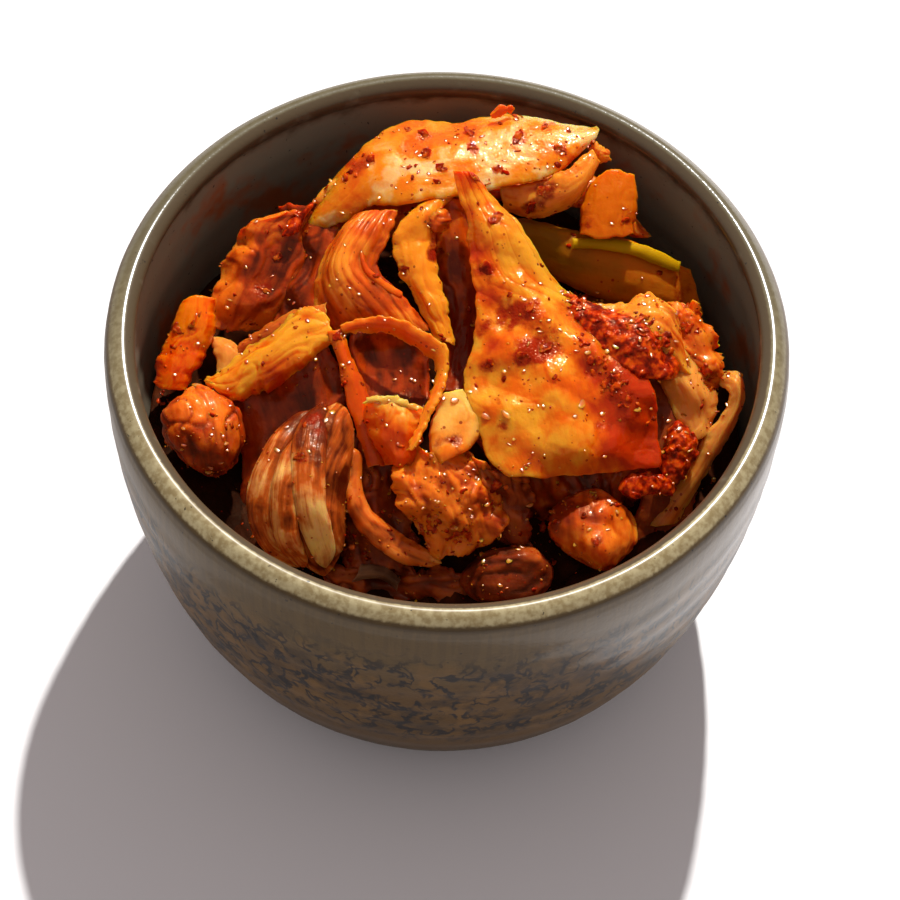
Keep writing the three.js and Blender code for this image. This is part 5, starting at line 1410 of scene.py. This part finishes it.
class Trees:
    """The Geometry Nodes trees that put small uneven bodies on the heap and make them real."""

    def __init__(self) -> None:
        """Builds the trees."""
        self.bodies = self._bodies()
        self.strew = self._strew()
        self.plant = self._plant()

    def _bodies(self) -> bpy.types.NodeTree:
        """Crumpled balls on given points: the part that both other trees share."""
        takes = [("Points", GEOMETRY), ("Rotation", "NodeSocketRotation"), ("Scale", PLACE), *BODY_TAKES]
        w, get, out = new_tree("crumpled_bodies", "GeometryNodeTree", takes, [("Bodies", GEOMETRY)])
        turn_seed = w.plus(get["Seed"], 7.0)
        back = w.times(get["Tilt"], -1.0)
        least = w.add("ShaderNodeCombineXYZ", {0: back, 1: back}).outputs[0]
        most = w.add("ShaderNodeCombineXYZ", {0: get["Tilt"], 1: get["Tilt"], 2: 2 * math.pi}).outputs[0]
        values = {0: least, 1: most, "Seed": turn_seed}
        turn = w.add("FunctionNodeRandomValue", values, data_type="FLOAT_VECTOR").outputs[0]
        spin = w.add("FunctionNodeEulerToRotation", {0: turn}).outputs[0]
        values = {"Rotation": get["Rotation"], "Rotate By": spin}
        turned = w.add("FunctionNodeRotateRotation", values, rotation_space="LOCAL").outputs[0]
        ball = w.add("GeometryNodeMeshIcoSphere", {"Radius": 1.0, "Subdivisions": get["Detail"]}).outputs[0]
        values = {"Points": get["Points"], "Instance": ball, "Rotation": turned, "Scale": get["Scale"]}
        bodies = w.add("GeometryNodeInstanceOnPoints", values).outputs[0]
        real = w.add("GeometryNodeRealizeInstances", {0: bodies})
        place = w.add("GeometryNodeInputPosition").outputs[0]
        values = {"Vector": place, "Scale": w.math("DIVIDE", 1.0, get["Crumple size"]), "Detail": 1.0}
        noise = w.add("ShaderNodeTexNoise", values).outputs["Color"]
        centred = w.add("ShaderNodeVectorMath", {0: noise, 1: (0.5, 0.5, 0.5)}, operation="SUBTRACT")
        pushed = w.scaled(centred.outputs[0], get["Crumple"])
        moved = w.add("GeometryNodeSetPosition", {"Geometry": real.outputs[0], "Offset": pushed})
        smooth = w.add("GeometryNodeSetShadeSmooth", {0: moved.outputs[0]})
        dressed = w.add("GeometryNodeSetMaterial", {"Geometry": smooth.outputs[0], "Material": get["Finish"]})
        w.tree.links.new(dressed.outputs[0], out["Bodies"])
        return w.tree

    def _strew(self) -> bpy.types.NodeTree:
        """Bodies at random over a skin, as dense as a named attribute of it says."""
        takes = [
            ("Skin", GEOMETRY), ("Keep skin", "NodeSocketBool", False), ("Per square metre", NUMBER, 1000.0),
            ("Share", "NodeSocketString", "chips"), ("Smallest", PLACE, (0.001,) * 3),
            ("Largest", PLACE, (0.001,) * 3), ("Raise", NUMBER, 0.0), ("Upright", NUMBER, 0.0), *BODY_TAKES,
        ]
        w, get, out = new_tree("strewn_bodies", "GeometryNodeTree", takes, [("Strewn", GEOMETRY)])
        density = w.times(w.named(get["Share"], "FLOAT"), get["Per square metre"])
        values = {"Mesh": get["Skin"], "Density": density, "Seed": get["Seed"]}
        points = w.add("GeometryNodeDistributePointsOnFaces", values, distribute_method="RANDOM").outputs
        values = {0: get["Smallest"], 1: get["Largest"], "Seed": get["Seed"]}
        size = w.add("FunctionNodeRandomValue", values, data_type="FLOAT_VECTOR").outputs[0]
        lift = w.scaled(points["Normal"], get["Raise"])
        lifted = w.add("GeometryNodeSetPosition", {"Geometry": points["Points"], "Offset": lift}).outputs[0]
        values = {0: get["Upright"], 4: points["Normal"], 5: STRAIGHT_UP}
        up = w.add("ShaderNodeMix", values, data_type="VECTOR").outputs[1]
        turned = w.add("FunctionNodeAlignRotationToVector", {"Vector": up}, axis="Z").outputs[0]
        values = {"Points": lifted, "Rotation": turned, "Scale": size}
        values |= {key: get[key] for key, *_ in BODY_TAKES}
        made = w.add("GeometryNodeGroup", values, node_tree=self.bodies).outputs[0]
        both = w.add("GeometryNodeJoinGeometry", {0: made})
        w.tree.links.new(get["Skin"], both.inputs[0])
        values = {"Switch": get["Keep skin"], "False": made, "True": both.outputs[0]}
        w.tree.links.new(w.add("GeometryNodeSwitch", values, input_type="GEOMETRY").outputs[0], out["Strewn"])
        return w.tree

    def _plant(self) -> bpy.types.NodeTree:
        """Bodies on the vertices of a mesh, whose attributes give each one's lean and size."""
        takes = [("Spots", GEOMETRY), *BODY_TAKES]
        w, get, out = new_tree("planted_bodies", "GeometryNodeTree", takes, [("Planted", GEOMETRY)])
        lean, span = (w.named(name, "FLOAT_VECTOR") for name in ("lean", "span"))
        turned = w.add("FunctionNodeAlignRotationToVector", {"Vector": lean}, axis="Z").outputs[0]
        points = w.add("GeometryNodeMeshToPoints", {"Mesh": get["Spots"]}).outputs[0]
        values = {"Points": points, "Rotation": turned, "Scale": span}
        values |= {key: get[key] for key, *_ in BODY_TAKES}
        w.tree.links.new(w.add("GeometryNodeGroup", values, node_tree=self.bodies).outputs[0], out["Planted"])
        return w.tree


def grown(
    name: str, mesh: bpy.types.Mesh, tree: bpy.types.NodeTree, values: dict[str, object], weld: float = 0.0
) -> bpy.types.Object:
    """Runs a tree on a mesh and keeps the result as a plain object.

    Args:
        name: The new object's name.
        mesh: What the tree starts from.
        tree: The tree.
        values: What each of its inputs gets.
        weld: Voxel size in metres if everything is melted into one skin, or 0.

    Returns:
        The object.
    """
    ids = {item.name: item.identifier for item in tree.interface.items_tree if item.in_out == "INPUT"}
    holder = shown(mesh, name + "_start")
    run = holder.modifiers.new("grow", "NODES")
    run.node_group = tree
    for key, value in values.items():
        run[ids[key]] = value
    if weld:
        melt = holder.modifiers.new("melt", "REMESH")
        melt.mode = "VOXEL"
        melt.voxel_size = weld
        melt.use_smooth_shade = True
    known = bpy.context.evaluated_depsgraph_get()
    made = bpy.data.meshes.new_from_object(holder.evaluated_get(known), depsgraph=known)
    made.name = name
    holder.modifiers.clear()
    bpy.data.objects.remove(holder)
    if weld:
        made.materials.clear()
        made.materials.append(values["Finish"])
    return shown(made, name)


@dataclass(frozen=True)
class Grain:
    """The size and the unevenness of one kind of small body."""

    smallest: Triple  # the half sizes of the smallest one; none where each one's size is given
    largest: Triple
    crumple: float
    crumple_size: float
    detail: int
    raised: float = 0.0
    upright: float = 0.0  # 0 lies flat on the skin, 1 level whatever the skin's slope
    tilt: float = 0.4  # radians that a body may lean from that

    def values(self, seed: int, finish: Material) -> dict[str, object]:
        """The tree inputs that it sets."""
        return {
            "Tilt": self.tilt,
            "Detail": self.detail,
            "Crumple": self.crumple * MM,
            "Crumple size": self.crumple_size * MM,
            "Seed": seed,
            "Finish": finish,
        }

    def strewn(self, seed: int, finish: Material, per_mm2: float, share: str) -> dict[str, object]:
        """The tree inputs for bodies at random on a skin, as dense as one of its attributes says."""
        return self.values(seed, finish) | {
            "Per square metre": per_mm2 * PER_M2,
            "Share": share,
            "Smallest": [s * MM for s in self.smallest],
            "Largest": [s * MM for s in self.largest],
            "Raise": self.raised * MM,
            "Upright": self.upright,
        }


@dataclass(frozen=True)
class Strewn:
    """One kind of small body, strewn over the whole heap."""

    name: str
    per_mm2: float
    grain: Grain
    seed: int

    def build(self, trees: Trees, skin: bpy.types.Mesh, finish: Material) -> None:
        """Strews it.

        Args:
            trees: The trees.
            skin: What the bodies lie on.
            finish: Their material.
        """
        values = self.grain.strewn(self.seed, finish, self.per_mm2, "chips")
        declare(grown(self.name, skin.copy(), trees.strew, values))


@dataclass
class Dropped:
    """Small bodies dropped onto the heap along their drop lines."""

    name: str
    grain: Grain
    seed: int
    weld: float = 0.0

    def build(self, trees: Trees, places: Array, sizes: Array, finish: Material) -> None:
        """Drops them.

        Args:
            trees: The trees.
            places: x and y of each one's drop line.
            sizes: Half length, half width and half thickness of each.
            finish: Their material.
        """
        known = bpy.context.evaluated_depsgraph_get()
        spots, leans, spans = [], [], []
        for (x, y), size in zip(places, sizes):
            way = Vector((x, y, DROP_LEVEL)) - Vector(DROP_FROM)
            start = Vector(DROP_FROM) * MM
            hit, spot, lean, _, what, _ = bpy.context.scene.ray_cast(known, start, way.normalized())
            if hit and what.name.startswith("food_"):
                spots.append(spot + lean * self.grain.raised * MM)
                leans.append(lean.lerp(Vector(STRAIGHT_UP), self.grain.upright))
                spans.append(size * MM)
        mesh = bpy.data.meshes.new(self.name + "_spots")
        mesh.from_pydata([tuple(s) for s in spots], [], [])
        for key, rows in (("lean", leans), ("span", spans)):
            layer = mesh.attributes.new(key, "FLOAT_VECTOR", "POINT")
            layer.data.foreach_set("vector", np.array([tuple(r) for r in rows], np.float32).ravel())
        values = self.grain.values(self.seed, finish)
        declare(grown(self.name, mesh, trees.plant, values, weld=self.weld * MM))


@dataclass
class Paste:
    """A clump of coarse chilli paste: a lumpy body with grains melted onto it."""

    body: Piece
    grain: Grain = Grain(
        (0.3, 0.25, 0.1), (1.1, 0.9, 0.26), crumple=0.5, crumple_size=1.4, detail=2, raised=0.04
    )
    per_mm2: float = 0.4
    voxel: float = 0.2

    def build(self, trees: Trees, finish: Material) -> None:
        """Makes the clump.

        Args:
            trees: The trees.
            finish: Its material.
        """
        name = self.body.name
        values = self.grain.strewn(self.body.seed, finish, self.per_mm2, "even") | {"Keep skin": True}
        surface = self.body.surface()
        surface.numbers["even"] = np.ones(len(surface.points))
        made = grown("food_" + name, surface.mesh(name), trees.strew, values, weld=self.voxel * MM)
        declare(made, [name])


# ---- the bed under the pieces
@dataclass
class SaucedBed:
    """The bed of leaf ends, scraps and brine that fills the bowl under the pieces."""

    level: float = 37.0
    rise: float = 17.0
    centre: tuple[float, float] = (2.0, 12.0)
    spread: tuple[float, float] = (24.0, 18.0)
    edge_rise: float = 5.0
    edge_from: float = 34.0
    floor: float = 7.6
    rings: int = 110
    turns: int = 300
    seed: int = 71

    def _height(self, x: Array, y: Array) -> Array:
        """Height of the top over a point of the bowl, with its folds."""
        noise = Unevenness(self.seed)
        dx, dy = (x - self.centre[0]) / self.spread[0], (y - self.centre[1]) / self.spread[1]
        edge_run = StonewareBowl.inner_radius - self.edge_from
        edge = np.maximum(0.0, (np.hypot(x, y) - self.edge_from) / edge_run)
        level = self.level + self.edge_rise * np.sqrt(edge) + self.rise * np.exp(-(dx * dx + dy * dy) / 2)
        folds = 1.3 * noise.layered(x / 6.0, y / 6.0) + 0.9 * np.abs(noise.layered(x / 3.0, y / 4.0, 4.0))
        return level + folds + 0.25 * noise.layered(x / 0.9, y / 0.9, 8.0)

    def surface(self) -> Surface:
        """The bed as one closed surface that follows the inside of the bowl."""
        bowl = StonewareBowl()
        angle = np.linspace(0, 2 * math.pi, self.turns, endpoint=False)
        rim = bowl.inside(np.array(self.level))
        reach = (float(rim) - 0.2) * (np.arange(1, self.rings + 1) / self.rings) ** 0.85
        x = reach[:, None] * np.cos(angle)
        y = reach[:, None] * np.sin(angle)
        top = np.stack([x, y, self._height(x, y)], axis=-1)
        lower = []
        for z in np.linspace(self.level - 3, self.floor, 12):
            r = float(bowl.inside(np.array(max(z, self.floor + 0.4)))) - 0.6
            lower.append(np.stack([r * np.cos(angle), r * np.sin(angle), np.full_like(angle, z)], axis=-1))
        grid = np.concatenate([top, np.array(lower)])
        rows, ring = grid.shape[:2]
        quads = ring_quads(rows, ring)[:, [0, 3, 2, 1]]
        fans = ring_fans(rows, ring)[:, [0, 2, 1]]
        ends = np.array([[0, 0, float(self._height(np.array(0.0), np.array(0.0)))], [0, 0, self.floor]])
        points = np.vstack([grid.reshape(-1, 3), ends])
        noise = Unevenness(self.seed + 3)
        numbers = {
            "pale": 0.3 + 0.5 * noise.layered(*(points.T / 5.0)),
            "stain": 0.1 + 0.3 * noise.layered(*(points.T / 3.0)),
            "chips": np.where(np.arange(len(points)) < self.rings * ring, 0.15, 0.0),
        }
        return Surface(points, quads, fans, points[:, :2] / 10.0, numbers).turned_out()


# ---- the bowl
@dataclass
class StonewareBowl:
    """The thrown bowl: foot ring, full round wall, narrow rounded lip and a small ledge inside."""

    # the lip's section: how far outside the lip's radius and how far below the top, from outside to inside
    LIP_CURVE = (
        (2.75, 2.05), (2.45, 1.65), (2.15, 1.3), (1.85, 0.98), (1.55, 0.7), (1.28, 0.47), (1.02, 0.28),
        (0.78, 0.14), (0.56, 0.055), (0.36, 0.015), (0.18, 0.0), (0.0, 0.005), (-0.18, 0.03), (-0.4, 0.09),
        (-0.64, 0.2), (-0.9, 0.34), (-1.2, 0.52), (-1.5, 0.75), (-1.76, 1.05), (-1.92, 1.4), (-1.98, 1.8),
        (-1.9, 2.3), (-1.7, 2.9), (-1.45, 3.5), (-1.25, 4.1),
    )
    height: float = 72.0
    bulge_radius: float = 55.5
    bulge_height: float = 67.7
    foot_radius: float = 31.5
    foot_ring: float = 5.0
    foot_recess: float = 1.5
    floor: float = 7.0
    inner_radius: float = 51.5
    inner_top: float = 66.0
    inner_power: float = 3.2
    lip_radius: float = 52.4
    turns: int = 420
    wobble: float = 0.22  # how far the thrown wall strays from a true circle
    seed: int = 81

    def outside(self, z: Array) -> Array:
        """Radius of the outside of the wall at a height."""
        drop = (self.bulge_height - z) / self.bulge_height
        run = self.bulge_radius - self.foot_radius
        return self.foot_radius + run * np.sqrt(np.maximum(0, 1 - drop * drop))

    def inside(self, z: Array) -> Array:
        """Radius of the inside of the wall at a height."""
        drop = np.clip((self.inner_top - z) / (self.inner_top - self.floor), 0, 1)
        return self.inner_radius * (1 - drop**self.inner_power) ** (1 / self.inner_power)

    def _profile(self) -> Array:
        """Radius, height, and how far inside, on the crown, in the dark ring and on the top each point is."""
        inner_foot = self.foot_radius - self.foot_ring
        rows = [(0.0, self.foot_recess), (10.0, self.foot_recess), (inner_foot - 2.0, self.foot_recess)]
        rows += [(inner_foot - 0.6, 1.0), (inner_foot, 0.25), (inner_foot + 0.6, 0.0)]
        rows += [(self.foot_radius - 0.8, 0.0), (self.foot_radius - 0.1, 0.25)]
        for angle in np.linspace(0.09, math.pi / 2, 60):
            z = self.bulge_height * (1 - math.cos(angle))
            rows.append((float(self.outside(np.array(z))), z))
        top, lip = self.height, self.lip_radius
        rows += [(self.bulge_radius - x, self.bulge_height + z) for x, z in ((0.08, 0.7), (0.25, 1.4))]
        rows += [(lip + across, top - drop) for across, drop in self.LIP_CURVE]
        rows.append((self.inner_radius, top - 5.2))
        for angle in np.linspace(0, math.pi / 2, 60):
            z = self.inner_top - (self.inner_top - self.floor) * math.sin(angle)
            rows.append((float(self.inside(np.array(z))), z))
        table = np.array(rows)
        run = np.concatenate([[0], np.cumsum(np.linalg.norm(np.diff(table, axis=0), axis=1))])
        peak = run[int(np.argmax(table[:, 1]))]
        inside = smoothstep(peak + 0.3, peak + 0.9, run)
        crown = smoothstep(peak - 3.0, peak - 1.9, run) * (1 - inside)
        outer_ring, inner_ring = (np.exp(-(((run - (peak + away)) / 0.6) ** 2)) for away in (-3.4, 4.6))
        shine = np.exp(-(((run - peak) / 0.8) ** 4))
        return np.column_stack([table, inside, crown, np.maximum(outer_ring, inner_ring), shine])

    def surface(self) -> Surface:
        """The bowl as one closed surface."""
        profile = self._profile()
        noise = Unevenness(self.seed)
        angle = np.linspace(0, 2 * math.pi, self.turns, endpoint=False)
        body = np.vstack([profile[1:-1], [[0.4, self.floor, 1, 0, 0, 0]]])
        radius, z = body[:, 0][:, None], body[:, 1][:, None]
        cx, cy = np.cos(angle)[None, :], np.sin(angle)[None, :]
        high = smoothstep(0.0, self.height, z)
        sway = self.wobble * high * noise.layered(1.3 * cx + 5, 1.3 * cy + 5, z / 60.0)
        rings = 0.09 * np.sin(z * 0.9) * smoothstep(4, 20, z) * (1 - smoothstep(60, 68, z))
        fine = 0.05 * noise.layered(radius * cx / 2.2, radius * cy / 2.2, z / 2.2) * smoothstep(3, 8, z)
        fine = fine * (1 - smoothstep(self.height - 3, self.height - 1, z))
        far = radius + sway + rings + fine
        up = z + 0.12 * high * noise.layered(2 * cx + 9, 2 * cy + 9)
        grid = np.stack([far * cx, far * cy, up + 0 * cx], axis=-1)
        rows, ring = grid.shape[:2]
        points = np.vstack([grid.reshape(-1, 3), [[0, 0, self.foot_recess], [0, 0, self.floor]]])
        run = np.concatenate([[0], np.linalg.norm(np.diff(body[:, :2], axis=0), axis=1)])
        run = np.repeat(np.cumsum(run), ring)
        uv = np.vstack([np.stack([run, np.tile(angle * 50, rows)], axis=1), [[0, 0], [0, 0]]]) / 10.0
        numbers = {}
        for column, key in enumerate(("inside", "crown", "ring", "shine"), start=2):
            floor = 1.0 if key == "inside" else 0.0
            numbers[key] = np.concatenate([np.repeat(body[:, column], ring), [0.0, floor]])
        numbers["shine"] *= 1 - 0.92 * smoothstep(6.0, 34.0, points[:, 1])
        return Surface(points, ring_quads(rows, ring), ring_fans(rows, ring), uv, numbers).turned_out()

    def build(self, finish: Material) -> bpy.types.Object:
        """Makes the bowl in its glaze."""
        made = shown(self.surface().mesh("bowl"), "stoneware_bowl", finish)
        declare(made, ["bowl"])
        return made


# ---- the heap
OWN = (0.0, 0.0, 0.0)  # a grain whose bodies each have a size of their own
FLAKE = Grain((0.25, 0.18, 0.06), (0.9, 0.6, 0.16), crumple=0.7, crumple_size=1.0, detail=1, raised=0.02)
GRIT = Grain((0.1, 0.1, 0.08), (0.36, 0.3, 0.22), crumple=0.2, crumple_size=0.5, detail=1)
OIL_DROP = Grain(
    (0.14, 0.12, 0.03), (0.66, 0.46, 0.09), crumple=0.01, crumple_size=0.9, detail=2,
    raised=0.03, upright=0.95, tilt=0.04,
)


class Heap:
    """All the food: the bed, the pieces, the paste and what is strewn over them."""

    def __init__(self, shared: SharedEffects) -> None:
        """Makes the finishes and the trees."""
        self.trees = Trees()
        self.materials = {name: finish.material(shared) for name, finish in FINISHES.items()}
        self.paste, self.flake, self.grit, self.oil, self.brine = (f.material(shared) for f in CHILLIES)
        self.random = np.random.default_rng(5)

    def _piece(self, piece: Piece) -> Surface:
        """Makes one piece of vegetable, which takes the place of the node of its name if there is one."""
        surface = piece.surface()
        made = shown(surface.mesh(piece.name), "food_" + piece.name, self.materials[piece.finish])
        declare(made, [piece.name] if piece.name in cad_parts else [])
        return surface

    def _smears(self) -> None:
        """Thin smears of paste on the leaves."""
        places, sizes = [], []
        for x, y, reach in SMEARS:
            count = int(5.5 * reach * reach)
            angle = self.random.uniform(0, 2 * math.pi, count)
            away = reach * np.sqrt(self.random.uniform(0, 1, count))
            places += list(zip(x + away * np.cos(angle), y + away * np.sin(angle)))
            half = self.random.uniform(0.22, 0.75, count) * (1.15 - 0.5 * away / reach)
            sizes += [np.array([h, h * 0.85, h * 0.38]) for h in half]
        grain = Grain(OWN, OWN, crumple=0.5, crumple_size=0.9, detail=2, raised=0.05)
        smear = Dropped("paste_smears", grain, seed=95, weld=0.17)
        smear.build(self.trees, np.array(places), np.array(sizes), self.paste)

    def _placed(
        self, rows: Sequence[Triple], slimmest: float, flat: float, least: float
    ) -> tuple[Array, Array]:
        """The places and the sizes of bodies that lie singly.

        Args:
            rows: Place on the drop line, and half length.
            slimmest: The smallest width, as a share of the length.
            flat: Half thickness as a share of the half length.
            least: Half thickness that every body has on top of that.

        Returns:
            The drop lines and the half sizes.
        """
        table = np.array(rows)
        half = table[:, 2:]
        width = half * self.random.uniform(slimmest, 0.8, half.shape)
        return table[:, :2], np.hstack([half, width, half * flat + least])

    def build(self) -> None:
        """Makes everything in the bowl."""
        bed = SaucedBed().surface()
        made = shown(bed.mesh("kimchi_bed"), "food_bed", self.materials["sauced_bed"])
        declare(made, ["kimchi_bed"])
        skins = [bed]
        skins += [self._piece(piece) for piece in BED_LEAVES]
        skins += [self._piece(piece) for piece in PIECES]
        for body in PASTES:
            Paste(body).build(self.trees, self.paste)
        self._smears()
        chip = Grain(OWN, OWN, crumple=1.1, crumple_size=1.0, detail=3)
        places, sizes = self._placed(BIG_FLAKES, slimmest=0.5, flat=0.0, least=0.12)
        Dropped("single_flakes", chip, seed=96).build(self.trees, places, sizes, self.flake)
        bead = Grain(OWN, OWN, crumple=0.06, crumple_size=0.9, detail=3, upright=0.85, tilt=0.04)
        places, sizes = self._placed(WET_SPOTS, slimmest=0.45, flat=0.1, least=0.0)
        Dropped("wet_spots", bead, seed=97).build(self.trees, places, sizes, self.brine)
        skin = joined(skins).mesh("heap_skin")
        Strewn("chilli_flakes", 0.07, FLAKE, seed=91).build(self.trees, skin, self.flake)
        Strewn("chilli_grit", 0.22, GRIT, seed=92).build(self.trees, skin, self.grit)
        Strewn("oil_drops", 0.13, OIL_DROP, seed=93).build(self.trees, skin, self.oil)
        pastes = joined([body.surface() for body in PASTES]).mesh("paste_skin")
        drop = replace(OIL_DROP, raised=0.24)
        Strewn("paste_drops", 0.7, drop, seed=94).build(self.trees, pastes, self.oil)


# ---- the studio
@dataclass
class Studio:
    """Floor, light and camera."""

    key_at: Triple = (0.2177, 0.943, 1.40)
    key_power: float = 144.0
    key_radius: float = 0.019
    sky: Rgb = (255, 243, 243)
    sky_strength: float = 0.4
    eye: Triple = (0.0, -0.28957, 0.47991)
    aim: Triple = (0.0013, 0.0040, 0.030)
    roll: float = 3.22
    lens: float = 124.3

    def build(self) -> None:
        """Makes the floor, the light and the camera."""
        side, below = 4.0, -0.00005
        mesh = bpy.data.meshes.new("studio_floor")
        corners = [(-side, -side, below), (side, -side, below), (side, side, below), (-side, side, below)]
        mesh.from_pydata(corners, [], [(0, 1, 2, 3)])
        shown(mesh, "studio_floor", StudioFloor().material())
        lamp = bpy.data.lights.new("studio_key", "POINT")
        lamp.energy = self.key_power
        lamp.shadow_soft_size = self.key_radius
        lamp.color = (1.0, 0.985, 0.96)
        key = bpy.data.objects.new("studio_key", lamp)
        key.location = self.key_at
        bpy.context.scene.collection.objects.link(key)
        world = bpy.data.worlds.new("studio_sky")
        world.use_nodes = True
        background = world.node_tree.nodes["Background"]
        background.inputs["Color"].default_value = linear(self.sky)
        background.inputs["Strength"].default_value = self.sky_strength
        bpy.context.scene.world = world
        bpy.context.scene.view_settings.view_transform = "Standard"
        lens = bpy.data.cameras.new("camera")
        lens.lens = self.lens
        lens.sensor_width = 36.0
        camera = bpy.data.objects.new("camera", lens)
        camera.location = self.eye
        look = (Vector(self.aim) - Vector(self.eye)).to_track_quat("-Z", "Y")
        camera.rotation_mode = "QUATERNION"
        camera.rotation_quaternion = look @ Quaternion((0, 0, 1), math.radians(self.roll))
        bpy.context.scene.collection.objects.link(camera)
        bpy.context.scene.camera = camera
        log.info("studio: camera %.0f mm", self.lens)


def main() -> None:
    """Builds the bowl, its food and the studio in order."""
    logging.basicConfig(level=logging.INFO, format="%(name)s: %(message)s")
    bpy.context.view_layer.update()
    shared = SharedEffects()
    StonewareBowl().build(StonewareGlaze().material())
    Heap(shared).build()
    Studio().build()


if __name__ == "__main__":
    main()
